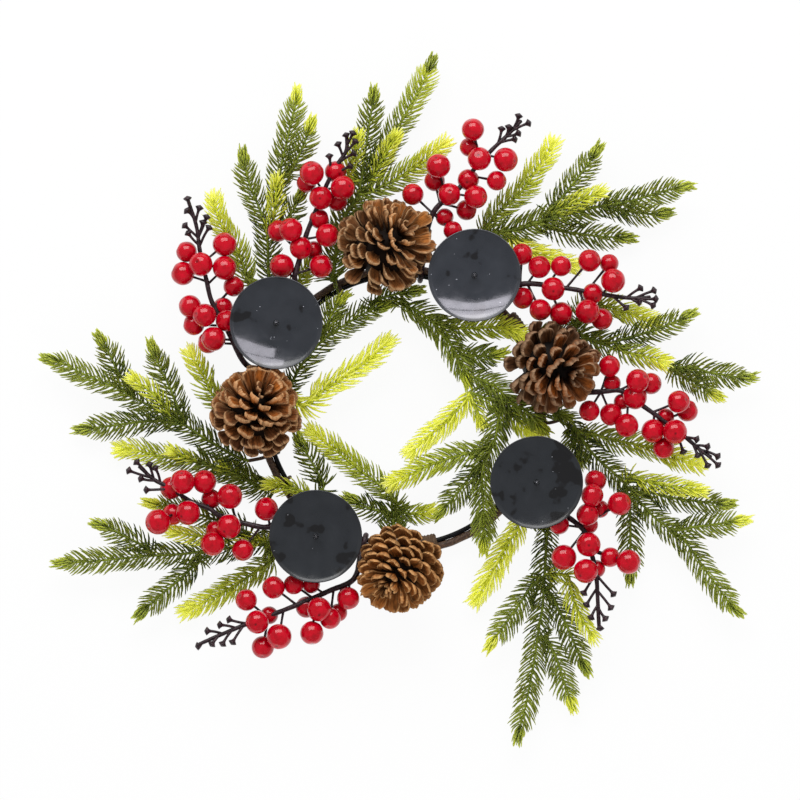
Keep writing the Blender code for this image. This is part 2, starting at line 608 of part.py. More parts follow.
def make_dish(number, angle):
    """A dish, its pin and its post, whose foot is bent round the ring."""
    radius = RING_RADIUS + DISH_OFFSET
    seat = Matrix.Translation(on_ring(angle, radius, DISH_UNDERSIDE))
    turned(f"candle_dish_{number}", "black_enamel", dish_outline(), DISH_STEPS, seat, closed=True)
    turned(f"candle_pin_{number}", "pin_steel", pin_outline(), PIN_STEPS, seat)
    foot = hook(angle, POST_DIAMETER, 1)
    level = foot[-1].z
    pad_top = DISH_UNDERSIDE + PIN_UNDERSIDE - CLEARANCE
    foot += [
        on_ring(angle, radius - POST_BEND, level),
        on_ring(angle, radius - POST_BEND * 0.3, level + POST_BEND * 0.3),
        on_ring(angle, radius, level + POST_BEND),
        on_ring(angle, radius, pad_top - POST_PAD_THICKNESS / 2),
    ]
    rod = curve_mesh([[(point, POST_DIAMETER / 2) for point in foot]], sides=ROD_SIDES)
    pad = POST_PAD_DIAMETER / 2
    outline = ((0, 0), (pad, 0), (pad, -POST_PAD_THICKNESS), (0, -POST_PAD_THICKNESS))
    place = Matrix.Translation(on_ring(angle, radius, pad_top))
    disc = turned("pad", None, outline, POST_PAD_STEPS, place)
    fused(f"dish_post_{number}", "black_metal", rod, [disc], 40)


def cone_scale(root, tip, facing, width, thickness):
    """One woody scale: a wedge, narrow at its root and wide and thick at its tip."""
    work = bmesh.new()
    bmesh.ops.create_cube(work, size=1)
    along_scale = tip - root
    side = along_scale.cross(facing).normalized()
    lift = side.cross(along_scale).normalized()
    for corner in work.verts:
        outer = corner.co.x > 0
        spread = width * (1 if outer else SCALE_ROOT_WIDTH)
        depth = thickness * (1 if outer else SCALE_ROOT_THICKNESS)
        lean = thickness * SCALE_SLANT if outer and corner.co.z > 0 else 0
        corner.co = (
            (tip if outer else root)
            - along_scale.normalized() * lean
            + side * corner.co.y * spread
            + lift * corner.co.z * depth
        )
    bmesh.ops.recalc_face_normals(work, faces=work.faces)
    mesh = bpy.data.meshes.new("scale")
    work.to_mesh(mesh)
    work.free()
    return mesh


def make_cone(number, middle, diameter, height, lean, towards, scales, scale_width, first_turn):
    """A pinecone on its stalk: scales on a golden-angle spiral round a core."""
    diameter, height, scale_width = diameter * MM, height * MM, scale_width * MM
    axis = Matrix.Rotation(math.radians(lean), 3, radial(towards + 90)) @ Vector((0, 0, 1))
    centre = placed(middle, CONE_BASE + CONE_STALK_LENGTH + height / 2 * axis.z)
    base = centre - axis * (height / 2)
    frame = axis.to_track_quat("Z", "Y").to_matrix().to_4x4()
    place = Matrix.Translation(base) @ frame
    core = diameter / 2 * CONE_CORE_SHARE
    stalk = CONE_STALK_DIAMETER / 2
    outline = [(core * across, height * up) for across, up in CORE_OUTLINE]
    outline += [(stalk, 0), (stalk, -CONE_STALK_LENGTH), (0, -CONE_STALK_LENGTH)]
    body = turned("core", None, outline, CONE_CORE_STEPS, place)
    wedges = []
    for index in range(scales):
        share = (index + 0.5) / scales
        turn = math.radians(first_turn) + index * GOLDEN_ANGLE
        out = frame.to_3x3() @ Vector((math.cos(turn), math.sin(turn), 0))
        reach = diameter / 2 * math.sqrt(1 - ((share - CONE_WIDEST) / CONE_NARROWING) ** 2)
        root_height = height * (SCALE_ROOTS[0] + SCALE_ROOTS[1] * share)
        tip_height = height * (SCALE_TIPS[0] + SCALE_TIPS[1] * share)
        root = base + axis * root_height + out * core / 2 * (1 - CORE_LOSS * share)
        tip = base + axis * tip_height + out * reach * (1 - REACH_LOSS * share)
        size = 1 - SCALE_LOSS * share
        wedges.append(cone_scale(root, tip, axis, scale_width * size, SCALE_THICKNESS * size))
    fused(f"pinecone_{number}", "cone", body, wedges)
    make_cone_wire(number, base, axis)


def make_cone_wire(number, base, axis):
    """A wire bent round the ring, whose other end loops round the cone's stalk."""
    middle = base - axis * CONE_STALK_LENGTH / 2
    towards = middle - RING_CENTRE
    angle = math.degrees(math.atan2(towards.y, towards.x))
    start = hook(angle, CONE_WIRE_DIAMETER, 1, last=135)
    reach = (CONE_STALK_DIAMETER + CONE_WIRE_DIAMETER) / 2 / math.cos(CONE_WIRE_STEP / 2) + CLEARANCE
    inwards = (-radial(angle)).cross(axis).cross(-axis).normalized()
    foot = base - axis * CONE_STALK_LENGTH * CONE_WIRE_DROP + inwards * (reach + CONE_WIRE_DIAMETER)
    loop = [foot]
    for step in range(CONE_WIRE_TURNS):
        turn = Matrix.Rotation(CONE_WIRE_STEP * step, 3, axis)
        loop.append(middle + turn @ inwards * reach)
    run = [(point, CONE_WIRE_DIAMETER / 2) for point in start + loop]
    part(f"cone_wire_{number}", curve_mesh([run]), "black_metal")


def make_pick(number, angle, side, level, stem, twigs):
    """A pine pick: a rod hooked round the ring, and the twigs that branch from it."""
    rod = hook(angle, PICK_ROD, side)
    outwards = radial(angle) * side
    rod.append(rod[-1] + outwards * (BUNDLE_HALF + PICK_ROD))
    rod += [placed(point, level) for point in stem]
    stem_mesh = curve_mesh([[(point, PICK_ROD / 2) for point in rod]])
    paths = [rod[5:]]
    blades = []
    for form, tip_level, points in twigs:
        first = placed(points[0], 0)
        parent = min(paths, key=lambda path: nearest(path, first)[1])
        root = along(parent, nearest(parent, first)[0])
        flat = [Vector((root.x, root.y, 0))] + [placed(point, 0) for point in points]
        if (flat[1] - flat[0]).length < PICK_ROD:
            flat.pop(1)
        total, done, path = length_of(flat), 0, []
        for index, point in enumerate(flat):
            if index:
                done += (point - flat[index - 1]).length
            share = done / total
            path.append(Vector((point.x, point.y, root.z + (tip_level - root.z) * share)))
        paths.append(path)
        blades.append(toothed(path, NEEDLE_REACH, form))
    fused(f"pine_pick_{number}", "pine", stem_mesh, [curve_mesh(blades, BLADE_CORNERS)])


def berry_mesh(centre, diameter):
    work = bmesh.new()
    bmesh.ops.create_icosphere(work, subdivisions=1, radius=diameter / 2 * BERRY_SWELL)
    mesh = bpy.data.meshes.new("berry")
    work.to_mesh(mesh)
    work.free()
    mesh.transform(Matrix.Translation(centre))
    return mesh


def make_spray(number, angle, stem, berries, buds):
    """A berry spray: a hooked stem, a stalk to each berry, and the buds past its end."""
    rod = hook(angle, SPRAY_ROD, 1)
    rod.append(rod[-1] + radial(angle) * (BUNDLE_HALF + SPRAY_ROD))
    rod += [placed(point, BERRY_LEVEL) for point in stem]
    widths = [SPRAY_ROD / 2] * (len(rod) - 1) + [STALK_DIAMETER / 2]
    stem_mesh = curve_mesh([list(zip(rod, widths))])
    path = rod[6:]
    stalks, balls = [], []
    thin = STALK_DIAMETER / 2
    for x, y, diameter, lift in berries:
        centre = placed((x, y), BERRY_LEVEL + lift * FRONT_LIFT)
        balls.append(berry_mesh(centre, diameter * MM))
        where, gap = nearest(path, centre)
        if (along(path, where) - centre).length > diameter * MM * STALK_SHORTEST:
            root = along(path, max(0, where - gap * STALK_LEAN))
            stalks.append([(root, thin), (centre, thin)])
    for point in buds:
        tip = placed(point, BERRY_LEVEL + FRONT_LIFT / 2)
        where, gap = nearest(path, tip)
        root = along(path, max(0, where - gap - BUD_DIAMETER))
        stalks.append([(root, thin), (root.lerp(tip, BUD_FOOT), BUD_DIAMETER / 2), (tip, thin)])
    fused(f"berry_spray_{number}", "berry", stem_mesh, [curve_mesh(stalks, STALK_CORNERS), *balls])


def build():
    make_rings()
    for number, angle in enumerate(SLEEVE_ANGLES, 1):
        make_sleeve(f"tape_sleeve_{number}", angle)
    for number, angle in enumerate(DISH_ANGLES, 1):
        make_dish(number, angle)
    for number, cone in enumerate(CONES, 1):
        make_cone(number, *cone)
    for number, pick in enumerate(PICKS, 1):
        make_pick(number, *pick)
    for number, spray in enumerate(SPRAYS, 1):
        make_spray(number, *spray)


for old in list(bpy.data.objects):
    bpy.data.objects.remove(old, do_unlink=True)
WREATH = collection("candle_wreath")
GUIDES = collection("guides")
build()
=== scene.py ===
"""The looks of the candle wreath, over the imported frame: needles, berries, cones, dishes and ring.

Lengths are in metres and the layout lists are in mm, in the frame's own axes: +Z up, the table at
z = 0, and the origin below the middle of the wreath.
"""

import random
from math import atan2, ceil, cos, degrees, exp, pi, radians, sin, sqrt

import bpy
from mathutils import Matrix, Vector, noise


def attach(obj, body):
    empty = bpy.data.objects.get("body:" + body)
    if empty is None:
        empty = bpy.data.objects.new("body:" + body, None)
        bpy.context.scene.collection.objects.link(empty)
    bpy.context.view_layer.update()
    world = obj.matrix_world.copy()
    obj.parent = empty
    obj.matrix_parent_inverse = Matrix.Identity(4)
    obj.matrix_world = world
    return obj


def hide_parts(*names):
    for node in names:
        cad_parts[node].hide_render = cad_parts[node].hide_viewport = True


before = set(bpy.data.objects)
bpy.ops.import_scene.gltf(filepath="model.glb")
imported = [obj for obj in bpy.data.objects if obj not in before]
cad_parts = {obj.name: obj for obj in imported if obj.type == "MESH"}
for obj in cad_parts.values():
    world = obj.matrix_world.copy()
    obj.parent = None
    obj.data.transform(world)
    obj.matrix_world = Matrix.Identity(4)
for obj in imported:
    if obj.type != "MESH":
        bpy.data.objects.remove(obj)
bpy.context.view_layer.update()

MM = 0.001
UP = Vector((0, 0, 1))
GOLDEN_ANGLE = 137.508

# Sizes and levels that the frame's solids have
RING_CENTRE = Vector((0.5 * MM, -6.0 * MM, 0))
RING_RADIUS = 74.4 * MM
WIRE = 2.4 * MM
STEM = 3.8 * MM
STEM_RADIUS = 77.8 * MM
BUNDLE_RADIUS = 76.45 * MM
BUNDLE_HALF = 3.25 * MM
CLEARANCE = 0.3 * MM
RING_HEIGHT = 6.036 * MM
SLEEVE_ANGLES = (15, 37.5, 74, 155, 193.5, 245, 281, 343)
SLEEVE_LENGTH = 10.7 * MM
SLEEVE_OUTER = 6.4 * MM
DISH_ANGLES = (145.3, 61.7, -28.3, 235.7)
DISH_RING = 83.9 * MM
DISH_UNDERSIDE = 30.822 * MM
DISH_RADIUS = 25.5 * MM
DISH_DEPTH = 3.5 * MM
DISH_SHEET = 1.0 * MM
POST = 2.6 * MM
POST_BEND = 3.5 * MM
PICK_ROD = 2.0 * MM
SPRAY_ROD = 2.0 * MM
STALK = 1.25 * MM
CONE_BASE = 13.086 * MM
CONE_STALK = 4 * MM
CONE_WIRE = 1.2 * MM
LOW, MIDDLE, HIGH = 6.036 * MM, 12.086 * MM, 17.586 * MM
BERRY_LEVEL = 21.822 * MM
FRONT_LIFT = 3.5 * MM
# The turns in degrees at which a hook's points lie round the ring's wire and stem
HOOK_TURNS = (310, 290, 270, 247, 225, 202, 180, 157, 135, 112, 90)

# Each cone: its middle, in mm, its diameter and height, its lean from upright and the lean's
# direction in degrees, its look and the first scale's turn. A look is the number of scales, their
# forms and widths low down and near the tip, their thickness, how hollow and how uneven they are,
# how much the top ones are shorter, how dark their roots are painted (painted shade), and the number
# of small ones on top.
CONES = (
    (
        (-7.7, 85.3), 55, 46, 44, 38,
        (72, ("spoon", "spoon"), (9.8, 7.4), 2.8, 0.2, 0.22, 0.2, 1, 7), 0,
    ),
    (
        (-79.4, -5.9), 54, 46, 33, 71,
        (68, ("spoon", "block"), (10.6, 6.4), 3.4, 0.12, 0.14, 0.36, 0.95, 5), 0,
    ),
    (
        (84.2, 17.3), 54, 46, 40, -26,
        (60, ("finger", "finger"), (9.4, 6.8), 4.4, 0.1, 0.17, 0.28, 0.95, 6), 124,
    ),
    (
        (-1.4, -94.0), 50, 44, 42, 234,
        (80, ("shield", "shield"), (10.6, 6.4), 2.8, 0.1, 0.06, 0.22, 0.72, 10), 0,
    ),
)

# Each pine pick: the ring angle that it is hooked on at, 1 to leave outwards or -1 inwards, the
# level of its stem, the x and y of the stem's points, and its twigs as (look, level at the tip,
# x and y of its points), in mm. A look is dark (D), dark with a bright tuft (B) or a bright end (E),
# green to yellow (G), olive (O), yellow (Y), a thin yellow-green (T) or a fuller mid-green (M).
PICKS = (
    (138, 1, MIDDLE, (-72, 62), (
        ("D", MIDDLE, -73, 69, -74, 93, -78, 105, -83, 117, -86, 128, -87.5, 140),
        ("T", HIGH, -72, 88, -70, 100, -69, 112, -68.5, 123),
        ("B", MIDDLE, -70, 105, -66, 128, -63, 141, -60.5, 153, -58, 163, -57, 174),
        ("B", HIGH, -63.5, 123, -59.5, 127.5, -55, 137, -51, 147, -48, 157),
        ("D", MIDDLE, -66, 95, -60, 103, -52, 118),
        ("G", MIDDLE, -74, 61, -83, 62, -87, 74, -90.5, 83, -99, 96, -102, 105, -103.5, 113),
        ("O", MIDDLE, -60, 60, -48, 78),
    )),
    (117, 1, MIDDLE, (-38, 65, -32, 98, -24, 111), (
        ("D", MIDDLE, -21.5, 122, -20.5, 132, -18.5, 144, -17, 155, -15.5, 163, -15, 174),
        ("E", MIDDLE, -20, 119, -9, 136, -4, 146, 1.5, 155, 8, 167, 13.5, 177, 19, 191),
        ("T", HIGH, -16.5, 120, -12, 128.5, -7, 138, -1.5, 147),
        ("G", MIDDLE, -20.5, 112.5, -11, 117, -1.5, 122, 8, 127.5, 17.5, 135, 26, 142.5),
        ("T", HIGH, -29, 122, -26, 134, -23, 147),
    )),
    (66, 1, MIDDLE, (50, 90, 66, 94, 80, 99, 100, 104), (
        ("G", MIDDLE, 44.5, 90.5, 54, 103, 67, 115, 73, 124, 79, 132.5, 85, 143),
        ("D", MIDDLE, 82, 104, 89, 111.5, 99, 124, 104.5, 131.5, 111, 142),
        ("T", HIGH, 84.5, 103, 94, 107.5, 103.5, 111.5, 112, 114.5),
        ("D", HIGH, 103, 105, 119, 107.5, 130, 110, 141.5, 113.5, 153, 116.5, 162.5, 117),
        ("D", LOW, 110, 105, 122.5, 104, 132, 102.5, 143.5, 102, 151.5, 104),
        ("D", LOW, 77.5, 96, 86.5, 93, 99, 91, 111, 89.5, 122.5, 89, 131, 88),
        ("Y", LOW, 60, 88, 75, 80, 98, 73),
    )),
    (28, 1, MIDDLE, (96, 36, 103.5, 33, 113, 30), (
        ("G", LOW, 100, 50, 115, 51, 122.5, 48.5, 132, 45, 142.5, 42),
        ("D", MIDDLE, 122.5, 33, 130, 35, 138, 37.5, 146.5, 40.5, 154, 44, 164.5, 48.5),
        ("G", HIGH, 119, 28, 127.5, 25, 138, 22.5, 147.5, 19),
        ("D", MIDDLE, 151, 17.5, 161, 17.5, 170, 14.5, 180, 13, 189, 11.5, 197.5, 13),
        ("B", LOW, 148, 17, 151, 14.5, 161, 10, 170, 4, 179.5, -0.5),
    )),
    (-5, 1, MIDDLE, (92, -10), (
        (
            "D", MIDDLE, 94, -12, 99.5, -22.5, 107.5, -32, 117, -40.5, 124.5, -48, 132, -57, 140, -65.5,
            146.5, -70.5, 156, -78, 163.5, -88, 170, -97.5, 177, -107, 182.5, -114.5, 190, -120,
        ),
        ("G", MIDDLE, 99, -17.5, 106.5, -19.5, 117, -22.5, 138, -27, 156, -34, 166.5, -37),
        ("T", HIGH, 126.5, -42.5, 136, -45.5, 146.5, -47.5, 156, -49, 167.5, -51),
        ("D", MIDDLE, 134, -51, 146.5, -54, 161, -56, 175, -57.5, 186, -57.5),
        ("B", MIDDLE, 148, -71.5, 154, -72, 161, -70.5, 170, -69.5, 180, -68, 194, -66),
        ("D", LOW, 122, -48, 126, -60, 126.5, -75, 126.5, -104),
        ("M", LOW, 94, -15, 95, -24.5, 100, -36),
        ("M", MIDDLE, 84, -7, 93, -11),
    )),
    (-41, 1, LOW, (80, -66), (
        (
            "D", MIDDLE, 80.5, -71.5, 79.5, -91.5, 78, -114.5, 76, -126, 74.5, -137, 73, -147, 71, -157,
            69, -168, 66.5, -177, 63.5, -191.5,
        ),
        ("B", MIDDLE, 78, -97.5, 72, -103, 67, -110.5, 60.5, -119.5, 56, -126, 51, -132.5, 46, -140),
        ("D", MIDDLE, 82.5, -107, 86.5, -115.5, 91, -124, 95, -133.5, 99, -143, 104.5, -153.5),
        ("B", LOW, 79.5, -132, 82.5, -136.5, 86.5, -145, 89, -153.5, 92, -162, 96, -174),
        ("T", HIGH, 92, -97.5, 93, -103, 95, -110.5, 99, -119.5, 102.5, -126, 107, -132.5),
        ("Y", LOW, 63.5, -72.5, 58.5, -80, 54, -89, 50, -96.5, 45.5, -104, 40, -112.5),
    )),
    (90, -1, MIDDLE, (0.5, 56), (
        ("M", HIGH, 0.5, 52, 8, 49, 16, 43.5, 23.5, 35.5, 28, 29, 32, 21.5, 36, 12, 37.5, 4),
        ("G", MIDDLE, 52, -2, 62, -10, 73, -21),
        ("Y", HIGH, 36, -0.5, 30, -7, 24.5, -13, 17.5, -18.5, 11, -24.5, 3.5, -31),
        ("T", HIGH, 38.5, 0.5, 41.5, -5.5, 45, -15),
        ("G", HIGH, 17.5, 44, 27, 39.5, 41.5, 39, 56, 39.5, 69.5, 35),
        ("M", HIGH, 34, 24.5, 44.5, 23.5, 54, 24.5, 60, 28),
        ("M", HIGH, 37, 14, 45.5, 10, 54, 5, 60, -1.5, 71, -8, 77, -15, 83, -20),
        ("M", HIGH, 56, 0, 54, -10, 51, -24.5, 45.5, -34, 44.5, -48, 45.5, -62.5, 45.5, -87),
        ("G", HIGH, 49, -25.5, 41.5, -29, 32, -31, 22.5, -34, 13, -37.5, 3.5, -42.5, -8, -47),
        ("D", HIGH, 42.5, -37, 36, -45.5, 29, -54, 23.5, -60.5, 17.5, -67),
    )),
    (266, -1, LOW, (-4, -62), (
        ("G", LOW, -2.5, -57, -9, -50, -15.5, -44.5, -22.5, -39.5, -36.5, -28, -51.5, -16.5),
        ("D", LOW, -9, -62.5, -16.5, -60.5, -24.5, -57, -33, -52),
        ("G", LOW, 0.5, -62.5, 10, -63.5, 19.5, -61.5),
    )),
    (174, -1, MIDDLE, (-66, 3), (
        ("Y", HIGH, -52.5, -3.5, -42.5, 5, -35.5, 9, -28, 14.5, -20.5, 19.5, -13, 26, -5, 33.5),
        ("D", HIGH, -58.5, 12, -55, 18.5, -49, 26, -42.5, 33, -34.5, 38.5, -18.5, 48, -3.5, 53),
        ("M", HIGH, -43, 32, -39, 45, -33, 55, -27, 58.5),
        ("D", HIGH, -16.5, 53, -1.5, 58, 14, 60.5),
    )),
    (225, -1, MIDDLE, (-48, -54), (
        ("D", MIDDLE, -42.5, -48, -46, -40.5, -50, -33, -55, -25.5, -58, -17),
        ("T", MIDDLE, -56, -50, -64, -48.5, -75, -46.5),
    )),
    (199, 1, MIDDLE, (-84, -34), (
        (
            "D", MIDDLE, -90.5, -32, -100, -26.5, -108.5, -21.5, -118, -15, -127.5, -9, -137, -4.5,
            -146.5, 0.5, -156, 6, -166, 10, -176.5, 14.5, -185, 19, -199.5, 23.5,
        ),
        ("D", MIDDLE, -147, 0, -150.5, 6, -155.5, 14, -159, 21.5, -163, 29, -169, 38),
        ("D", MIDDLE, -119, -14, -122, -7, -125, 0.5, -128.5, 9, -132.5, 16.5, -139, 34),
        ("T", HIGH, -125.5, -8, -131.5, -2.5, -137, 3.5, -143, 8, -150, 12.5),
        ("D", LOW, -119, -14, -124, -13, -133.5, -12, -143, -12.5, -162, -15, -182, -17.5),
    )),
    (211, 1, LOW, (-76, -49, -90, -42, -110, -35), (
        ("G", LOW, -130.5, -32, -139, -30, -147.5, -28, -157.5, -28),
        ("T", MIDDLE, -112, -35, -121, -31, -128, -28),
        ("G", LOW, -84, -44.5, -92.5, -38.5, -100, -36),
    )),
    (230, 1, MIDDLE, (-75, -80), (
        (
            "D", MIDDLE, -80, -80.5, -106.5, -83.5, -122, -85.5, -141, -86.5, -160, -88.5, -179, -90,
            -193.5, -91,
        ),
        ("D", MIDDLE, -135.5, -85, -140, -82, -146.5, -78.5, -153.5, -75, -160, -71.5, -172, -67),
        ("D", MIDDLE, -110.5, -89, -116, -93.5, -122, -99.5, -127.5, -104, -133.5, -109, -148, -122),
        ("G", LOW, -70, -88, -74.5, -91.5, -82, -96.5, -97, -106, -105, -110.5, -121.5, -118),
        ("B", MIDDLE, -84, -74, -110, -64, -131.5, -59, -144, -56),
        ("T", HIGH, -100, -77, -116, -75, -128, -72.5),
        ("T", HIGH, -76, -76.5, -90, -80.5),
    )),
    (180, 1, MIDDLE, (-86, -7), (
        ("G", MIDDLE, -95, -5, -105, 4, -107.5, 10, -111.5, 17.5, -117, 27),
    )),
)

# Each berry spray: its ring angle, the x and y of its stem's points, its berries as (x, y,
# diameter, lift) and the x and y of its buds, in mm. The lift is a share of FRONT_LIFT above the
# level of the lower berries.
SPRAYS = (
    (
        165,
        (-86.5, 20.5, -94.5, 36, -104, 53.5, -107, 65.5, -110.5, 81, -112.5, 95, -117, 109),
        (
            (-118, 81, 11.5, 0.5), (-97, 85, 13.3, 1), (-110, 74, 13.3, 1.5), (-97, 72, 13.3, 1.2),
            (-120, 69, 13, 0.6), (-92, 62, 11.5, 0.2), (-116, 51, 12.5, 0.6), (-98, 50.5, 11, 0),
            (-108, 46, 13, 1.5), (-96, 43, 12, 0.4), (-114, 41, 12, 0.2), (-103, 33, 13.5, 1.3),
            (-106, 31, 12, 0),
        ),
        (
            -117.5, 111, -118.5, 104, -110.5, 106, -106.5, 101, -108.5, 98, -105, 95, -119.5, 96,
            -117.5, 92,
        ),
    ),
    (
        131,
        (-58.5, 65.5, -56, 76, -52, 90.5, -49, 98, -41, 117.5, -34.5, 129.5, -30, 137, -30, 146),
        (
            (-49, 124, 13.5, 1.4), (-52, 119, 11, 0), (-36, 125, 12, 0.2), (-44, 110.5, 13, 1.6),
            (-32, 116, 13.5, 1.2), (-35, 109, 11.5, 0), (-45, 99, 11, 0), (-67.5, 92.5, 12, 0.6),
            (-60.5, 93, 13, 1.2), (-40.5, 90, 13, 0.6), (-55, 83, 12.5, 1.4), (-48, 82, 10, 0),
            (-65.5, 73, 13.5, 0.3), (-44, 73, 13, 0.2),
        ),
        (-30.5, 146, -26, 147, -35, 141, -24.5, 142.5, -39.5, 134.5, -25, 135.5, -27, 128.5),
    ),
    (
        82,
        (17.5, 102, 33, 117, 39.5, 125.5, 50, 137, 59.5, 146, 66, 153),
        (
            (39.5, 148, 12.5, 1), (37.5, 138.5, 10.5, 0), (43, 132, 13, 1.3), (57.5, 131.5, 13.5, 1),
            (20.5, 128, 13.5, 1), (18.5, 120, 11.5, 0), (37, 120.5, 12, 0.2), (52.5, 120, 11, 0.6),
            (6.5, 112.5, 12, 0.2), (26.5, 112.5, 12.5, 1.3), (41, 111, 13, 1.2), (36, 104, 11.5, 0),
            (24, 100, 10, 0), (28.5, 92.5, 10.5, 0),
        ),
        (65, 156.5, 71, 152, 65.5, 146.5, 63.5, 143, 55.5, 149.5, 59.5, 150.5),
    ),
    (
        47,
        (65.5, 63, 90, 61, 111, 57.5, 126.5, 55.5, 137, 56),
        (
            (66.5, 79.5, 12, 0.2), (76, 72.5, 12.5, 0.9), (88, 73, 11.5, 0.8), (103.5, 76, 12.5, 1),
            (114.5, 74.5, 10.5, 0), (116.5, 65, 13.5, 1.3), (83.5, 60.5, 13, 1.3), (105.5, 58, 11.5, 0),
            (67, 55.5, 12, 0), (76.5, 49, 12, 0.8), (88, 47, 13, 0.2), (102.5, 48, 13.5, 1.2),
            (110.5, 44, 12, 0.2),
        ),
        (132.5, 61.5, 140, 60, 139.5, 51, 132, 53, 124.5, 49.5, 141, 55),
    ),
    (
        6,
        (110, 4, 121, 4.5, 134, -4.5, 144.5, -12, 157, -21.5, 164.5, -28, 170.5, -32),
        (
            (114.5, 18, 12, 0.2), (116, 8.5, 10, 0), (130, 10, 13, 1.2), (137.5, 8.5, 12, 0.2),
            (128.5, 1, 13.5, 1.5), (152.5, -1.5, 12.5, 1.2), (157.5, -6.5, 12, 0.2),
            (103.5, -6.5, 11.5, 0), (115.5, -8.5, 12.5, 0.8), (124, -14.5, 13, 1.4), (145.5, -10, 10, 0),
            (138.5, -17.5, 13, 1), (150.5, -18, 13.5, 1.4), (144.5, -27, 12, 0.8), (121.5, -1.5, 9, 0),
        ),
        (163.5, -22.5, 169.5, -26.5, 175, -32, 169, -37.5, 163.5, -32, 155.5, -30, 175, -37),
    ),
    (
        -34,
        (99, -70.5, 105, -86, 107.5, -99, 108, -107, 108.5, -118, 109, -127),
        (
            (107, -45, 12, 0.2), (105, -53, 12.5, 0.9), (102.5, -63.5, 12.5, 1.3), (120, -57.5, 13, 1),
            (109.5, -60.5, 10, 0), (87, -69, 11, 0), (103, -69, 11, 0.2), (103, -80, 13.5, 1.2),
            (115, -87, 11, 0.8), (125, -89.5, 13.5, 1.2), (89.5, -87, 14, 0.9), (101.5, -94.5, 13.5, 1.4),
            (107.5, -93.5, 10, 0),
        ),
        (100, -107.5, 117.5, -108, 101.5, -114, 116, -115.5, 104, -121, 113, -121.5, 109.5, -127),
    ),
    (
        254,
        (-26, -99, -39.5, -105.5, -55.5, -112.5, -72, -119, -85.5, -124, -100, -130, -112.5, -135.5),
        (
            (-85, -110.5, 12, 1), (-70, -103.5, 12.5, 1.1), (-79, -122.5, 13, 1.3),
            (-76, -136.5, 12.5, 0.7), (-72.5, -119, 10, 0), (-67, -130.5, 14, 1.4), (-59, -102, 11, 0.2),
            (-49.5, -102, 10, 0), (-52, -114.5, 12, 0.2), (-45, -115.5, 13.5, 1.5),
            (-39, -120.5, 12, 0.9), (-34.5, -117.5, 10, 0.1), (-29, -109.5, 12.5, 0.6),
            (-49, -128.5, 13, 1),
        ),
        (
            -95.5, -121, -100.5, -124, -107.5, -127.5, -112.5, -136, -104.5, -135.5, -98.5, -135.5,
            -93, -134.5,
        ),
    ),
    (
        219.5,
        (
            -72, -70, -85.5, -68.5, -100, -64, -105, -60.5, -116, -56, -126.5, -49, -135.5, -44.5,
            -144, -37,
        ),
        (
            (-120, -45.5, 13.5, 1.2), (-108, -45.5, 13, 1), (-126.5, -49, 12.5, 0), (-94, -53.5, 14, 1.4),
            (-104.5, -55, 11, 0), (-74, -60.5, 13, 0.6), (-117, -62.5, 13.5, 1.3), (-125.5, -63.5, 12, 0),
            (-133.5, -67.5, 14, 1), (-94.5, -70, 13.5, 1.4), (-103.5, -79.5, 13.5, 1.2),
            (-87, -83, 12, 0.4), (-102, -72.5, 11, 0),
        ),
        (-146, -34, -150.5, -39, -144, -43.5, -138.5, -35, -135.5, -37, -141, -50),
    ),
)

# The wood of each cone, as it looks: the weathered face of its scales, their warm face and their rim
CONE_TONES = (
    ((148, 94, 54), (210, 130, 62), (210, 170, 126)),
    ((146, 92, 56), (216, 124, 50), (212, 168, 122)),
    ((114, 72, 42), (188, 100, 32), (170, 138, 108)),
    ((172, 110, 58), (196, 118, 52), (216, 166, 110)),
)

# A needle's stations: (share of its length, share of its width)
NEEDLE_STATIONS = ((0.0, 0.8), (0.3, 1.0), (0.64, 0.98), (0.88, 0.68), (1.0, 0.0))
# The height of a needle's ridge as a share of its half-width, and its bend in degrees
NEEDLE_RIDGE = 0.8
NEEDLE_BEND = -30
# No needle comes nearer to the table than this
NEEDLE_LEVEL = 0.4 * MM
# The rows of needles round a twig: (turn from its right side in degrees, step in mm)
NEEDLE_ROWS = (
    (0, 2.1), (180, 2.1), (34, 2.7), (146, 2.7), (70, 4.4), (110, 4.4), (-42, 5.2), (-138, 5.2),
)
# Each look of twig: the share of the rows' step, needle length and width in mm, needle angles at the
# twig's foot and end in degrees, flatness, the shades of needle roots and tips at the twig's foot
# and at its end, and the tuft's shades. The shades give the needles' own dark green to yellow, and in
# the darker looks also painted light: roots painted lighter where the twig's middle is lit, and tips
# painted darker as painted shade.
LOOKS = {
    "D": (1.04, 11.0, 0.8, (66, 56), 0.7, (0.17, 0.0), (0.32, 0.24), (0.14, 0.54)),
    "B": (1.0, 11.2, 0.8, (66, 56), 0.7, (0.20, 0.04), (0.38, 0.46), (0.46, 0.92)),
    "E": (1.0, 11.2, 0.8, (64, 54), 0.7, (0.18, 0.02), (0.62, 0.84), (0.10, 0.46)),
    "G": (0.95, 11.2, 0.85, (62, 50), 0.7, (0.27, 0.26), (0.84, 1.0), None),
    "O": (0.95, 10.4, 0.85, (60, 50), 0.7, (0.32, 0.40), (0.52, 0.70), None),
    "Y": (1.0, 11.8, 0.92, (56, 46), 0.75, (0.56, 1.0), (0.78, 1.0), None),
    "M": (0.85, 12.4, 0.85, (62, 50), 0.75, (0.26, 0.12), (0.36, 0.38), (0.34, 0.66)),
    "T": (1.15, 10.6, 0.8, (56, 42), 0.75, (0.42, 0.66), (0.66, 0.96), None),
}
# A twig's stem radius at its foot and tip, in mm
TWIG_RADII = (0.95, 0.5)
# The tuft that some looks have: its length, its needles, and the shortest twig that has one. From its
# foot to its tip: the angles that its needles start and end at in degrees, and their length in mm.
TUFT_LENGTH = 12.5 * MM
TUFT_NEEDLES = 40
TUFT_TWIG = 30 * MM
TUFT_STARTS, TUFT_ENDS, TUFT_REACH = (66, 28), (-12, 0), (7.8, 6.2)
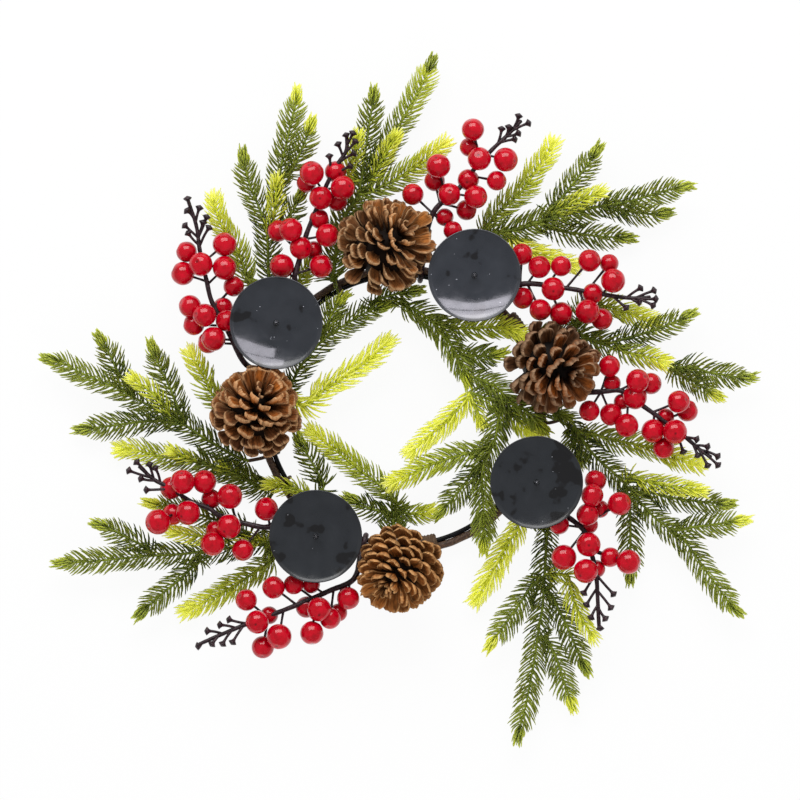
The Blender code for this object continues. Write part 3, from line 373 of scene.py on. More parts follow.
# The brush of any other twig: its needles, their length in mm, bend and first angles in degrees, and
# how far before the tip they stand, in mm
BRUSH_NEEDLES, BRUSH_REACH, BRUSH_BEND = 14, 7.2, -8
BRUSH_STARTS, BRUSH_PLACES = (26, 12), (6, 2.5)
# Where the needles of a pick's rod begin, past its hook
ROD_BARE = 6 * MM

# A bud's outline along its stalk: (share of its length, radius in mm)
BUD_OUTLINE = ((0.0, 0.75), (0.4, 0.85), (0.6, 1.6), (0.75, 2.4), (0.9, 2.6), (1.0, 1.5))
BUD_LENGTH = 4.2 * MM
# How far a berry may be moved down or up from the level of its spray to clear its neighbours
BERRY_SINK, BERRY_RISE = 4.2 * MM, 5.2 * MM
# The depth of the dimple at a berry's end as a share of its radius, the dimple's width in radians, and
# the berry's unevenness as a share of its radius
DIMPLE_DEPTH, DIMPLE_WIDTH, BERRY_UNEVEN = 0.09, 0.22, 0.018
# A spray's stem: its radius in mm, what it loses towards its tip, and the share where that begins
SPRAY_RADIUS, SPRAY_LOSS, SPRAY_TAPER = 1.6, 0.55, 0.35

# Each form of scale: (share of its length, share of its half-width, share of its thickness)
SCALE_FORMS = {
    "spoon": (
        (0.0, 0.34, 0.5), (0.25, 0.42, 0.5), (0.45, 0.58, 0.55), (0.62, 0.8, 0.65), (0.75, 0.96, 0.85),
        (0.85, 1.0, 1.05), (0.92, 0.95, 1.15), (0.97, 0.8, 0.95), (1.0, 0.55, 0.5),
    ),
    "block": (
        (0.0, 0.55, 0.8), (0.3, 0.62, 0.85), (0.55, 0.75, 0.9), (0.8, 0.93, 1.0), (0.93, 1.0, 1.1),
        (0.985, 0.97, 1.1), (1.0, 0.84, 0.8),
    ),
    "finger": (
        (0.0, 0.42, 0.6), (0.3, 0.56, 0.7), (0.6, 0.82, 0.85), (0.8, 1.0, 1.05), (0.9, 0.98, 1.15),
        (0.96, 0.82, 1.0), (1.0, 0.45, 0.5),
    ),
    "shield": (
        (0.0, 0.35, 0.5), (0.3, 0.45, 0.55), (0.5, 0.68, 0.65), (0.7, 0.98, 0.9), (0.8, 1.0, 1.15),
        (0.9, 0.8, 1.25), (0.96, 0.58, 1.0), (1.0, 0.34, 0.5),
    ),
}
# A scale's section: (share of its half-width, share of its half-thickness, how much it is rim)
SCALE_SECTION = (
    (-1, 0.1, 0.9), (-0.95, 0.7, 1.0), (-0.84, 0.66, 0.25), (-0.45, 0.42, 0), (0, 0.5, 0),
    (0.45, 0.42, 0), (0.84, 0.66, 0.25), (0.95, 0.7, 1.0), (1, 0.1, 0.9), (0.8, -0.6, 0.2),
    (0.35, -0.95, 0), (0, -1.1, 0), (-0.35, -0.95, 0), (-0.8, -0.6, 0.2),
)
# A scale's unevenness, how ragged its tip is for its length, and how far it bends for its width
SCALE_UNEVEN, SCALE_RAGGED, SCALE_BENT = 0.7 * MM, 0.08, 0.16
# How fine its grain is, across and along it
GRAIN_ACROSS, GRAIN_ALONG = 1100, 120
# A cone's core: its radius as a share of the cone's diameter, and its outline as shares of that
# radius and of the cone's height. The outline of its stalk is in mm.
CORE_RADIUS = 0.25
CORE_OUTLINE = ((0, 0.62), (0.2, 0.615), (0.8, 0.48), (1.15, 0.28), (0.9, 0.1))
STALK_OUTLINE = ((2.5, 0), (2.3, -4), (0, -4))
STALK_WIDTH = 5 * MM
# Where among its scales a cone is widest, and how far from there its outline closes, as shares
CONE_WIDEST, CONE_SPAN = 0.34, 0.78
# How much further a cone's scales reach on the side that it leans to, and how far it is moved there
CONE_SWAY = 0.12
CONE_SHIFT = 3.0 * MM

# How much painted reflection each dish shows: its dark blotches, painted dark reflections in the
# glossy enamel, grow with this
DISH_REFLECTION_BLOTCHES = (-0.02, -0.03, 0.035, 0.02)
# The turned outlines of a candle nail and of a post's pad: (radius, height) in mm
PIN_OUTLINE = (
    (0, 13), (0.455, 12.5), (0.975, 8.2), (1.3, 1.6), (1.456, 1.2), (1.3, -0.3), (3.1, -0.3),
    (3.2, -0.5), (3.1, -1.2), (0, -1.2),
)
PAD_OUTLINE = ((0, 0), (5.2, 0), (5.5, -0.3), (5.5, -0.9), (5.2, -1.2), (0, -1.2))
# The cards over dishes 1 and 2: (middle, size, turn in degrees, watts), level and facing down
DISH_CARDS = (
    (((0.56, 0.63, 1.6), (1.25, 0.34), -6, 9), ((0.44, 1.08, 1.6), (1.4, 0.46), -8, 14)),
    (((0.06, 0.76, 1.6), (1.9, 0.26), 3, 13), ((0.06, 1.16, 1.6), (2.2, 0.44), 3, 24)),
)
CARD_COLOUR = (0.93, 0.9, 1.0)
PANEL_TARGET = Vector((0, 0, 0.02))
# The camera stands far off behind a long lens, straight above the wreath, and its picture is
# FRAME_WIDTH wide there
CAMERA_LENS, CAMERA_SENSOR = 400, 36
FRAME_WIDTH = 0.44


class Shape:
    """Points and faces gathered for one mesh, with the named values that its finish reads."""

    def __init__(self, *names):
        self.points = []
        self.faces = []
        self.values = {name: [] for name in names}

    def ring(self, points, **values):
        """Adds points that share the given values, and returns their numbers."""
        first = len(self.points)
        self.points += points
        for name, kept in self.values.items():
            value = values.get(name, 0.0)
            kept += value if isinstance(value, list) else [value] * len(points)
        return list(range(first, first + len(points)))

    def cap(self, ring, outwards=True):
        self.faces.append(tuple(ring) if outwards else tuple(reversed(ring)))

    def join(self, below, above):
        """The wall between two rings, either of which may be a single point."""
        if len(above) == 1:
            self.faces += [(a, b, above[0]) for a, b in zip(below, below[1:] + below[:1])]
        elif len(below) == 1:
            self.faces += [(b, a, below[0]) for a, b in zip(above, above[1:] + above[:1])]
        else:
            self.faces += zip(below, below[1:] + below[:1], above[1:] + above[:1], above)

    def chain(self, rings, down=False):
        """Walls from ring to ring, each above the one before, or below it where down is set."""
        for first, second in zip(rings, rings[1:]):
            if down:
                first, second = second, first
            self.join(first, second)

    def object(self, name, material):
        mesh = bpy.data.meshes.new(name)
        mesh.from_pydata([tuple(point) for point in self.points], [], self.faces)
        for key, kept in self.values.items():
            if isinstance(kept[0], tuple):
                attribute = mesh.attributes.new(key, "FLOAT_VECTOR", "POINT")
                attribute.data.foreach_set("vector", [x for value in kept for x in value])
            else:
                attribute = mesh.attributes.new(key, "FLOAT", "POINT")
                attribute.data.foreach_set("value", kept)
        mesh.materials.append(material)
        mesh.update()
        mesh.shade_smooth()
        return add_object(name, mesh)


def add_object(name, data):
    made = bpy.data.objects.new(name, data)
    bpy.context.scene.collection.objects.link(made)
    return made


def piece(shape, node, part, finish, sharp=0):
    """The shape as the piece of the wreath that stands for this CAD node."""
    made = shape.object(f"{node}_{part}", FINISHES[finish].material)
    if sharp:
        made.data.set_sharp_from_angle(angle=radians(sharp))
    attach(made, "root")
    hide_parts(node)
    return made


def radial(angle):
    return Vector((cos(radians(angle)), sin(radians(angle)), 0))


def on_ring(angle, radius, height):
    return RING_CENTRE + radial(angle) * radius + UP * height


def about_ring(angle, radius, half, turn):
    """The point this far from a ring of the given radius, turned about the ring's own line."""
    return on_ring(angle, radius + half * cos(turn), RING_HEIGHT + half * sin(turn))


def placed(x, y, height):
    return Vector((x * MM, y * MM, height))


def spots(flat, height):
    """The points of a flat list of x and y in mm, at this height."""
    return [placed(x, y, height) for x, y in zip(flat[::2], flat[1::2])]


def around(count):
    """Equal turns round a full circle, in radians."""
    return [2 * pi * step / count for step in range(count)]


def between(pair, share):
    return pair[0] + (pair[1] - pair[0]) * share


def hook(angle, rod, side, last=90):
    """Points of a rod bent round the ring's wire and stem, which leaves outwards where side is 1."""
    middle = on_ring(angle, BUNDLE_RADIUS, RING_HEIGHT)
    reach = BUNDLE_HALF + CLEARANCE + rod / 2
    points = []
    for turn in HOOK_TURNS:
        if turn >= last:
            across = cos(radians(turn)) * side
            up = sin(radians(turn))
            points.append(middle + radial(angle) * across * reach + UP * (up * reach))
    return points


def hooked(angle, rod, side):
    """Points of a rod's hook, and of the short straight run that leaves it."""
    points = hook(angle, rod, side)
    return [*points, points[-1] + radial(angle) * side * (BUNDLE_HALF + rod)]


def length_of(path):
    return sum((b - a).length for a, b in zip(path, path[1:]))


def along(path, distance):
    """(the point this far along the path, the path's direction there)."""
    for a, b in zip(path, path[1:]):
        step = (b - a).length
        if distance <= step:
            return a.lerp(b, distance / max(step, 1e-9)), (b - a).normalized()
        distance -= step
    return path[-1].copy(), (path[-1] - path[-2]).normalized()


def nearest(path, spot):
    """(distance along the path, gap) of the path's point that is nearest seen from above."""
    best = (0.0, float("inf"))
    done = 0.0
    for a, b in zip(path, path[1:]):
        run = (b - a).to_2d()
        share = (spot - a).to_2d().dot(run) / max(run.length_squared, 1e-12)
        share = min(1, max(0, share))
        gap = (a.lerp(b, share) - spot).to_2d().length
        if gap < best[1]:
            best = (done + share * (b - a).length, gap)
        done += (b - a).length
    return best


def smoothed(points, step):
    """Points about this far apart on a smooth curve through the given ones."""
    ends = [points[0] * 2 - points[1], *points, points[-1] * 2 - points[-2]]
    made = [points[0].copy()]
    for a, b, c, d in zip(ends, ends[1:], ends[2:], ends[3:]):
        count = max(1, ceil((c - b).length / step))
        slope_b = (c - a) * ((c - b).length / max((b - a).length + (c - b).length, 1e-9))
        slope_c = (d - b) * ((c - b).length / max((c - b).length + (d - c).length, 1e-9))
        for index in range(1, count + 1):
            t = index / count
            made.append(
                b * (2 * t**3 - 3 * t**2 + 1)
                + slope_b * (t**3 - 2 * t**2 + t)
                + c * (3 * t**2 - 2 * t**3)
                + slope_c * (t**3 - t**2)
            )
    return made


def at_station(values, index):
    """The values at one station of a form, where a list holds one for each station."""
    return {key: value[index] if isinstance(value, list) else value for key, value in values.items()}


def add_tube(shape, path, radii, sides, **values):
    """A closed round tube along the path, with one radius or one for each of its points."""
    if not isinstance(radii, list):
        radii = [radii] * len(path)
    normal = (path[1] - path[0]).orthogonal().normalized()
    rings = []
    for index, (point, radius) in enumerate(zip(path, radii)):
        ahead = path[min(index + 1, len(path) - 1)] - path[max(index - 1, 0)]
        direction = ahead.normalized()
        normal = (normal - direction * normal.dot(direction)).normalized()
        across = direction.cross(normal)
        points = [
            point + (normal * cos(turn) + across * sin(turn)) * radius for turn in around(sides)
        ]
        here = at_station(values, index)
        rings.append(shape.ring(points, **here))
        if not index:
            rings.insert(0, shape.ring([point - direction * radius * 0.5], **here))
    rings.append(shape.ring([path[-1] + direction * radii[-1] * 0.5], **here))
    shape.chain(rings)


def add_lathe(shape, outline, steps, place, closed=False, **values):
    """A turned form from an outline of (radius, height), from its top down its outer side."""
    rings = []
    for index, (radius, height) in enumerate(outline):
        points = [
            place @ Vector((radius * cos(turn), radius * sin(turn), height))
            for turn in around(steps if radius else 1)
        ]
        rings.append(shape.ring(points, **at_station(values, index)))
    shape.chain(rings + rings[:1] if closed else rings, down=True)


def in_mm(outline):
    return [(radius * MM, height * MM) for radius, height in outline]


def tone(red, green, blue):
    """A colour given as it looks on the screen, 0 to 255, in the linear form that shaders use."""
    made = []
    for value in (red, green, blue):
        value /= 255
        made.append(value / 12.92 if value <= 0.04045 else ((value + 0.055) / 1.055) ** 2.4)
    return (*made, 1)


class Nodes:
    """Short calls for the nodes of one tree."""

    def __init__(self, tree):
        self.tree = tree

    def feed(self, socket, value):
        """Links the output of another node to this socket, or sets a plain value."""
        if isinstance(value, bpy.types.NodeSocket):
            self.tree.links.new(value, socket)
        else:
            socket.default_value = value

    def node(self, kind, inputs=None, **settings):
        made = self.tree.nodes.new(kind)
        for key, value in settings.items():
            setattr(made, key, value)
        for key, value in (inputs or {}).items():
            self.feed(made.inputs[key], value)
        return made

    def math(self, operation, first, second):
        return self.node("ShaderNodeMath", {0: first, 1: second}, operation=operation).outputs[0]

    def spread(self, value, low, high, to_low=0.0, to_high=1.0):
        """The value from one range stretched over another, and held at its ends."""
        inputs = {"Value": value, "From Min": low, "From Max": high, "To Min": to_low, "To Max": to_high}
        return self.node("ShaderNodeMapRange", inputs, clamp=True).outputs[0]


class Finish(Nodes):
    """A material with a Principled shader, for the pieces of one slot."""

    def __init__(self, name, slot, **settings):
        self.material = bpy.data.materials.new(name)
        self.material.use_nodes = True
        self.slot = slot
        super().__init__(self.material.node_tree)
        self.place = self.node("ShaderNodeTexCoord").outputs["Object"]
        self.set(**settings)

    def set(self, **settings):
        """Sets or links inputs of the shader, which are named with _ for each space."""
        shader = self.tree.nodes["Principled BSDF"]
        for key, value in settings.items():
            self.feed(shader.inputs[key.replace("_", " ")], value)

    def value(self, name, output="Fac"):
        return self.node("ShaderNodeAttribute", attribute_name=name).outputs[output]

    def noise(self, scale, detail=2.0, roughness=0.5, place=None):
        inputs = {"Vector": place or self.place, "Scale": scale, "Detail": detail, "Roughness": roughness}
        return self.node("ShaderNodeTexNoise", inputs).outputs["Fac"]

    def cells(self, scale):
        inputs = {"Vector": self.place, "Scale": scale}
        return self.node("ShaderNodeTexVoronoi", inputs).outputs["Distance"]

    def ramp(self, factor, *stops):
        """A colour ramp with stops of (position, screen colour) or (position, linear grey)."""
        made = self.node("ShaderNodeValToRGB", {"Fac": factor})
        elements = made.color_ramp.elements
        while len(elements) < len(stops):
            elements.new(1)
        for element, (position, *colour) in zip(elements, stops):
            element.position = position
            element.color = tone(*colour) if len(colour) == 3 else (*colour * 3, 1)
        return made.outputs["Color"]

    def mix(self, factor, first, second, blend="MIX"):
        made = self.node("ShaderNodeMix", data_type="RGBA", blend_type=blend)
        sockets = [socket for socket in made.inputs if socket.enabled]
        for socket, value in zip(sockets, (factor, first, second)):
            self.feed(socket, value)
        return [socket for socket in made.outputs if socket.enabled][0]

    def bump(self, height, strength, distance):
        inputs = {"Height": height, "Strength": strength, "Distance": distance}
        self.set(Normal=self.node("ShaderNodeBump", inputs).outputs["Normal"])


def mottled(name, slot, grain, *stops, rough=None, relief=None, **settings):
    """A finish whose colour follows a noise of (scale, detail), with one for its roughness as
    (scale, detail, low, high) and one for its relief as (scale, detail, strength, distance)."""
    made = Finish(name, slot, **settings)
    made.set(Base_Color=made.ramp(made.noise(*grain), *stops))
    if rough:
        made.set(Roughness=made.spread(made.noise(*rough[:2]), 0.3, 0.7, *rough[2:]))
    if relief:
        made.bump(made.noise(*relief[:2]), *relief[2:])
    return made


def make_finishes():
    made = {
        "needles": needle_finish(),
        "berry": berry_finish(),
        "enamel": enamel_finish(),
        "tape": tape_finish(),
        "rod": mottled(
            "pick_rod", "brown_stem", (400, 4), (0.3, 40, 27, 20), (0.7, 84, 60, 42),
            relief=(1500, 3, 0.5, 0.0002), Roughness=0.6,
        ),
        "stem": mottled(
            "berry_stem_wrap", "brown_stem", (700, 4), (0.3, 20, 9, 14), (0.55, 44, 22, 30),
            (0.8, 92, 66, 72), rough=(700, 4, 0.3, 0.6), relief=(1400, 3, 0.6, 0.0003),
        ),
        "wire": mottled(
            "black_wire", "black_wire", (500, 3), (0.35, 10, 10, 12), (0.7, 26, 26, 30),
            rough=(900, 2, 0.24, 0.42), relief=(900, 2, 0.1, 0.0002), Specular_IOR_Level=0.16,
        ),
        # The candle nail's pale specks are painted glints: painted highlights on its dark metal
        "pin": mottled(
            "pin_painted_glints", "pin_metal", (1800, 2), (0.3, 14, 14, 16), (0.58, 40, 40, 44),
            (0.62, 190, 190, 198), relief=(1500, 2, 0.4, 0.0003), Roughness=0.18, Metallic=0.3,
        ),
        "wrap": mottled(
            "brown_stem_wrap", "brown_stem", (900, 5), (0.25, 44, 28, 20), (0.5, 84, 60, 46),
            (0.78, 120, 92, 72), relief=(1300, 4, 0.7, 0.0004), Roughness=0.55,
        ),
        "tie": mottled(
            "tie_wire", "tie_wire", (900, 2), (0.3, 30, 28, 26), (0.7, 70, 64, 58),
            Roughness=0.4, Metallic=0.6,
        ),
    }
    for number, tones in enumerate(CONE_TONES, 1):
        colours = [tone(*colour) for colour in tones]
        made[f"cone_{number}"] = cone_finish(f"cone_scales_{number}", *colours)
    return made


def needle_finish():
    """Plastic from dark to yellow green, which follows each needle's shade, and whose brightest needles
    glow a little as painted light.
    """
    needles = Finish(
        "needle_plastic", "pine_needles", Specular_IOR_Level=0.16, Subsurface_Weight=0.6,
        Subsurface_Radius=(1, 1, 0.4), Subsurface_Scale=0.0015, Emission_Color=tone(236, 240, 70),
    )
    shade = needles.value("shade")
    patch = needles.spread(needles.noise(90, 3), 0.3, 0.7, -0.07, 0.07)
    needles.set(
        Base_Color=needles.ramp(
            needles.math("ADD", shade, patch),
            (0.0, 28, 36, 16), (0.15, 78, 91, 31), (0.32, 131, 145, 50),
            (0.55, 190, 202, 54), (0.78, 240, 244, 74), (1.0, 253, 254, 128),
        ),
        Roughness=needles.spread(needles.noise(600), 0.3, 0.7, 0.45, 0.62),
        # Painted light: the brightest needles glow, to lift them out of their own shadow
        Emission_Strength=needles.spread(shade, 0.6, 1.0, 0, 0.2),
    )
    return needles


def berry_finish():
    """Red lacquer, dark at the calyx."""
    berry = Finish(
        "berry_lacquer", "red_berries", Specular_IOR_Level=0.06, Coat_Weight=0.9, Coat_Roughness=0.085,
    )
    red = berry.ramp(berry.noise(260, 3, 0.6), (0.3, 158, 0, 20), (0.5, 188, 0, 26), (0.72, 206, 0, 36))
    berry.set(
        Base_Color=berry.mix(berry.value("calyx"), red, tone(84, 4, 12)),
        Roughness=berry.spread(berry.noise(420, 2), 0.35, 0.65, 0.16, 0.34),
    )
    berry.bump(berry.noise(240, 2), 0.06, 0.0005)
    return berry


def enamel_finish():
    """Grey-black enamel with dark blotches of painted reflection, rare pale specks and a duller lip."""
    enamel = Finish("black_enamel", "black_enamel", Coat_Weight=0.4, Coat_Roughness=0.05)
    outer = enamel.value("outer")
    edge_only = enamel.spread(outer, 0.35, 0.6, 0, 0.06)
    # Painted reflection: where this mask runs low the enamel is painted near black, in blotches that grow
    # beyond the seat
    reflection_mask = enamel.math("SUBTRACT", enamel.noise(62, 2.5, 0.6), edge_only)
    reflection_mask = enamel.math("SUBTRACT", reflection_mask, enamel.value("wet"))
    ground = enamel.ramp(reflection_mask, (0.35, 14, 14, 17), (0.385, 33, 36, 41), (0.7, 41, 44, 49))
    dust = enamel.spread(enamel.cells(330), 0.05, 0.075, 1, 0)
    rare = enamel.spread(enamel.noise(150, 1), 0.56, 0.6)
    gloss = enamel.spread(enamel.noise(120, 3), 0.35, 0.65, 0.1, 0.2)
    dull_lip = enamel.spread(outer, 0.9, 0.97, 0, 0.35)
    enamel.set(
        Base_Color=enamel.mix(enamel.math("MULTIPLY", dust, rare), ground, tone(190, 192, 200)),
        Roughness=enamel.math("ADD", gloss, dull_lip),
    )
    enamel.bump(enamel.noise(160, 2), 0.08, 0.0004)
    return enamel


def tape_finish():
    """Brown crepe, paler along the edge of each turn."""
    tape = Finish("brown_tape_crepe", "brown_tape", Roughness=0.75)
    crepe = tape.noise(1600, 4)
    ground = tape.ramp(crepe, (0.25, 52, 36, 25), (0.75, 112, 84, 60))
    turns = tape.spread(tape.value("turns"), 0, 1)
    tape.set(Base_Color=tape.mix(turns, ground, tone(140, 110, 84)))
    tape.bump(crepe, 0.8, 0.0004)
    return tape


def cone_finish(name, body_tone, warm_tone, rim_tone):
    """Wood with dark streaks along each scale, paler at its rim, and nearly black at its root, which is
    painted shade.
    """
    wood = Finish(name, "pinecone_scales", Specular_IOR_Level=0.15)
    streak = wood.noise(1.0, 5, 0.7, place=wood.value("grain", "Vector"))
    face = wood.mix(wood.value("warm"), body_tone, warm_tone)
    lines = wood.ramp(streak, (0.32, 0.16), (0.43, 0.5), (0.52, 0.84), (0.66, 1))
    face = wood.mix(1.0, face, lines, "MULTIPLY")
    blotches = wood.ramp(wood.noise(150, 4, 0.6), (0.36, 0.5), (0.5, 0.86), (0.6, 1))
    face = wood.mix(1.0, face, blotches, "MULTIPLY")
    rim = wood.math("MULTIPLY", wood.value("rim"), wood.spread(streak, 0.34, 0.56, 0.15, 0.9))
    face = wood.mix(rim, face, rim_tone)
    # Painted shade: each scale's root, hidden among the others, is painted from dark brown to near black
    painted_root_shade = wood.math("ADD", wood.value("shade"), wood.spread(streak, 0.3, 0.7, -0.08, 0.08))
    depth = wood.ramp(painted_root_shade, (0.08, 0.03), (0.26, 0.14), (0.44, 0.44), (0.62, 0.82), (0.8, 0.97))
    wood.set(
        Base_Color=wood.mix(1.0, face, depth, "MULTIPLY"),
        Roughness=wood.spread(streak, 0.3, 0.7, 0.5, 0.75),
    )
    wood.bump(streak, 0.9, 0.0007)
    return wood


def add_needle(shape, root, forward, out, length, width, angles, shades):
    """A slim three-sided needle, bent from the first angle off its stem's direction to the second."""
    def bent(share):
        angle = between(angles, share)
        return forward * cos(angle) + out * sin(angle)

    side = forward.cross(out)
    point = root.copy()
    rings = []
    done = 0.0
    for share, breadth in NEEDLE_STATIONS:
        point = point + bent((done + share) / 2) * (length * (share - done))
        point.z = max(point.z, NEEDLE_LEVEL)
        done = share
        shade = between(shades, share)
        if not breadth:
            rings.append(shape.ring([point], shade=shade))
            break
        direction = bent(share)
        flat = direction.cross(UP)
        flat = side if flat.length < 0.2 else flat.normalized()
        half = width / 2 * breadth
        ridge = flat.cross(direction) * half * NEEDLE_RIDGE
        rings.append(shape.ring([point + flat * half, point + ridge, point - flat * half], shade=shade))
    shape.cap(rings[0], False)
    shape.chain(rings)


def add_spread_needle(shape, point, forward, turn, flatness, length, width, start, bend, shades):
    """A needle that leaves its twig at this turn, a little shorter above and below the twig."""
    side = forward.cross(UP).normalized()
    up = side.cross(forward)
    turn = radians(turn)
    out = (side * cos(turn) + up * sin(turn) * flatness).normalized()
    root = point + out * 0.3 * MM
    squeeze = 1 - 0.35 * abs(sin(turn)) * (1 if sin(turn) < 0 else 0.4)
    add_needle(shape, root, forward, out, length * squeeze, width, (start, start + bend), shades)


def needle_spots(path, first, last, step, rng):
    """Each needle's place between two distances: (distance, turn, the path's point, its direction).
    Where the first distance is 0, each row begins a random part of a step further on."""
    for turn, row_step in NEEDLE_ROWS:
        pitch = row_step * step * MM
        distance = first or pitch * rng.random()
        while distance < last:
            yield distance, turn, *along(path, distance)
            distance += pitch * rng.uniform(0.85, 1.15)


def add_twig(shape, path, look, rng):
    """A twig: its stem, its rows of needles, and a tuft or a brush of needles at its tip."""
    step, reach, width, angles, flatness, foot, end, tuft = LOOKS[look]
    total = length_of(path)
    has_tuft = bool(tuft) and total > TUFT_TWIG
    body_end = total - (TUFT_LENGTH if has_tuft else 2.5 * MM)
    shares = [index / (len(path) - 1) for index in range(len(path))]
    tip = along(path, total - (5 if has_tuft else 2) * MM)[0]
    # The twig's stem is painted a little lighter than its needles' roots: painted light against the shade
    # of the needles over it
    add_tube(
        shape, [*path[:-1], tip], [between(TWIG_RADII, share) * MM for share in shares], 6,
        shade=[foot[0] + 0.06 + (end[0] - foot[0]) * share**2 for share in shares],
    )
    for distance, turn, point, forward in needle_spots(path, 0, body_end, step, rng):
        share = distance / total
        add_spread_needle(
            shape, point, forward, turn + rng.uniform(-11, 11), flatness,
            reach * MM * rng.uniform(0.9, 1.06) * needle_profile(distance, body_end, has_tuft),
            width * MM * rng.uniform(0.9, 1.1),
            radians(between(angles, share) + rng.uniform(-5, 5)),
            radians(NEEDLE_BEND + rng.uniform(-6, 6)),
            shifted([between(ends, share**1.6) for ends in zip(foot, end)], rng.uniform(-0.05, 0.05)),
        )
    if has_tuft:
        add_tuft(shape, path, total, tuft, width, rng)
    else:
        add_end_brush(shape, path, total, end, width, rng)


def needle_profile(distance, body_end, has_tuft):
    """A needle's share of full length: shorter at the foot of the twig and near its end."""
    foot = 0.7 + 0.3 * min(1, distance / (12 * MM))
    left = body_end - distance
    if has_tuft:
        return foot * (0.62 + 0.38 * min(1, left / (7 * MM)))
    return foot * (0.72 + 0.28 * min(1, left / (18 * MM)))


def shifted(shades, change):
    return [shade + change for shade in shades]


def add_tuft(shape, path, total, shades, width, rng):
    """A bud of needles at the twig's tip that spread and then close in."""
    for index in range(TUFT_NEEDLES):
        share = index / (TUFT_NEEDLES - 1)
        point, forward = along(path, total - TUFT_LENGTH + share * (TUFT_LENGTH - 4.5 * MM))
        start = radians(between(TUFT_STARTS, share) + rng.uniform(-6, 6))
        end = radians(between(TUFT_ENDS, share) + rng.uniform(-8, 8))
        length = between(TUFT_REACH, share) * MM * rng.uniform(0.9, 1.08)
        tones = shifted(shades, rng.uniform(-0.08, 0.08))
        add_spread_needle(
            shape, point, forward, index * GOLDEN_ANGLE + rng.uniform(-12, 12), 0.9,
            length, width * 1.05 * MM, start, end - start, tones,
        )


def add_end_brush(shape, path, total, shades, width, rng):
    """The last needles of a twig with no tuft, which point almost straight on."""
    for index in range(BRUSH_NEEDLES):
        share = index / (BRUSH_NEEDLES - 1)
        point, forward = along(path, total - between(BRUSH_PLACES, share) * MM)
        start = radians(between(BRUSH_STARTS, share) + rng.uniform(-5, 5))
        tones = shifted(shades, rng.uniform(-0.04, 0.06))
        add_spread_needle(
            shape, point, forward, index * GOLDEN_ANGLE + rng.uniform(-12, 12), 0.8,
            BRUSH_REACH * MM * rng.uniform(0.85, 1.1), width * MM, start, radians(BRUSH_BEND), tones,
        )


def add_rod_needles(shape, path, rng):
    """Needles along a pick's rod past its hook, and their stem round the rod."""
    step, reach, width, angles, flatness, foot, _, _ = LOOKS["M"]
    add_tube(shape, path[2:], PICK_ROD / 2 + 0.2 * MM, 8, shade=foot[0])
    for _, turn, point, forward in needle_spots(path, ROD_BARE, length_of(path), step, rng):
        add_spread_needle(
            shape, point, forward, turn + rng.uniform(-11, 11), flatness,
            reach * MM * rng.uniform(0.85, 1.05), width * MM,
            radians(angles[0] + rng.uniform(-5, 5)), radians(NEEDLE_BEND),
            (foot[0] + rng.uniform(-0.04, 0.04), foot[1] + rng.uniform(-0.05, 0.05)),
        )


def make_pick(number, angle, side, level, stem, twigs):
    """A pine pick: its rod, hooked round the ring, and the twigs that branch from it."""
    rng = random.Random(100 + number)
    foot = hooked(angle, PICK_ROD, side)
    stem = spots(stem, level)
    shape = Shape()
    add_tube(shape, smoothed(foot + stem, 2 * MM), PICK_ROD / 2, 8)
    piece(shape, f"pine_pick_{number}", "rod", "rod")
    needles = Shape("shade")
    trunk = foot[-2:] + stem
    if length_of(trunk) > 20 * MM:
        add_rod_needles(needles, smoothed(trunk, 2 * MM), rng)
    paths = [trunk]
    for look, tip_level, *points in twigs:
        flat = spots(points, 0)
        first = flat[0]
        parent = min(paths, key=lambda path: nearest(path, first)[1])
        root = along(parent, nearest(parent, first)[0])[0]
        flat.insert(0, Vector((root.x, root.y, 0)))
        if (flat[1] - flat[0]).length < PICK_ROD:
            flat.pop(1)
        total = length_of(flat)
        path = []
        for index, point in enumerate(flat):
            rise = (tip_level - root.z) * length_of(flat[:index + 1]) / total
            path.append(Vector((point.x, point.y, root.z + rise)))
        paths.append(path)
        add_twig(needles, smoothed(path, 2.5 * MM), look, rng)
    piece(needles, f"pine_pick_{number}", "needles", "needles")


def berry_centres(berries):
    """The berries' centres, moved up or down until those that cross in plan clear each other."""
    centres = [placed(x, y, BERRY_LEVEL + lift * FRONT_LIFT) for x, y, _, lift in berries]
    for _ in range(60):
        for i, first in enumerate(centres):
            for j, second in enumerate(centres[:i]):
                apart = (berries[i][2] + berries[j][2]) / 2 * MM
                flat = (first - second).to_2d().length
                if flat >= apart:
                    continue
                wanted = sqrt(apart**2 - flat**2)
                gap = first.z - second.z
                if abs(gap) < wanted:
                    push = (wanted - abs(gap)) / 4 * (1 if gap >= 0 else -1)
                    first.z += push
                    second.z -= push
        for centre in centres:
            centre.z = min(BERRY_LEVEL + BERRY_RISE, max(BERRY_LEVEL - BERRY_SINK, centre.z))
    return centres


def add_berry(shape, centre, radius, outwards, seed):
    """A lacquered berry, nearly round, with a small calyx dimple at its outer end."""
    place = Matrix.Translation(centre) @ outwards.to_track_quat("Z", "Y").to_matrix().to_4x4()
    steps, rows = 28, 18
    rings = []
    for row in range(rows + 1):
        polar = pi * row / rows
        dimple = DIMPLE_DEPTH * exp(-((polar / DIMPLE_WIDTH) ** 2))
        points = []
        for turn in around(steps if 0 < row < rows else 1):
            direction = Vector(
                (sin(polar) * cos(turn), sin(polar) * sin(turn), cos(polar))
            )
            uneven = BERRY_UNEVEN * noise.noise(direction * 1.7 + Vector((seed, 0, 0)))
            points.append(place @ (direction * radius * (1 - dimple + uneven)))
        rings.append(shape.ring(points, calyx=1.0 if polar < 0.12 else 0.0))
    shape.chain(rings, down=True)


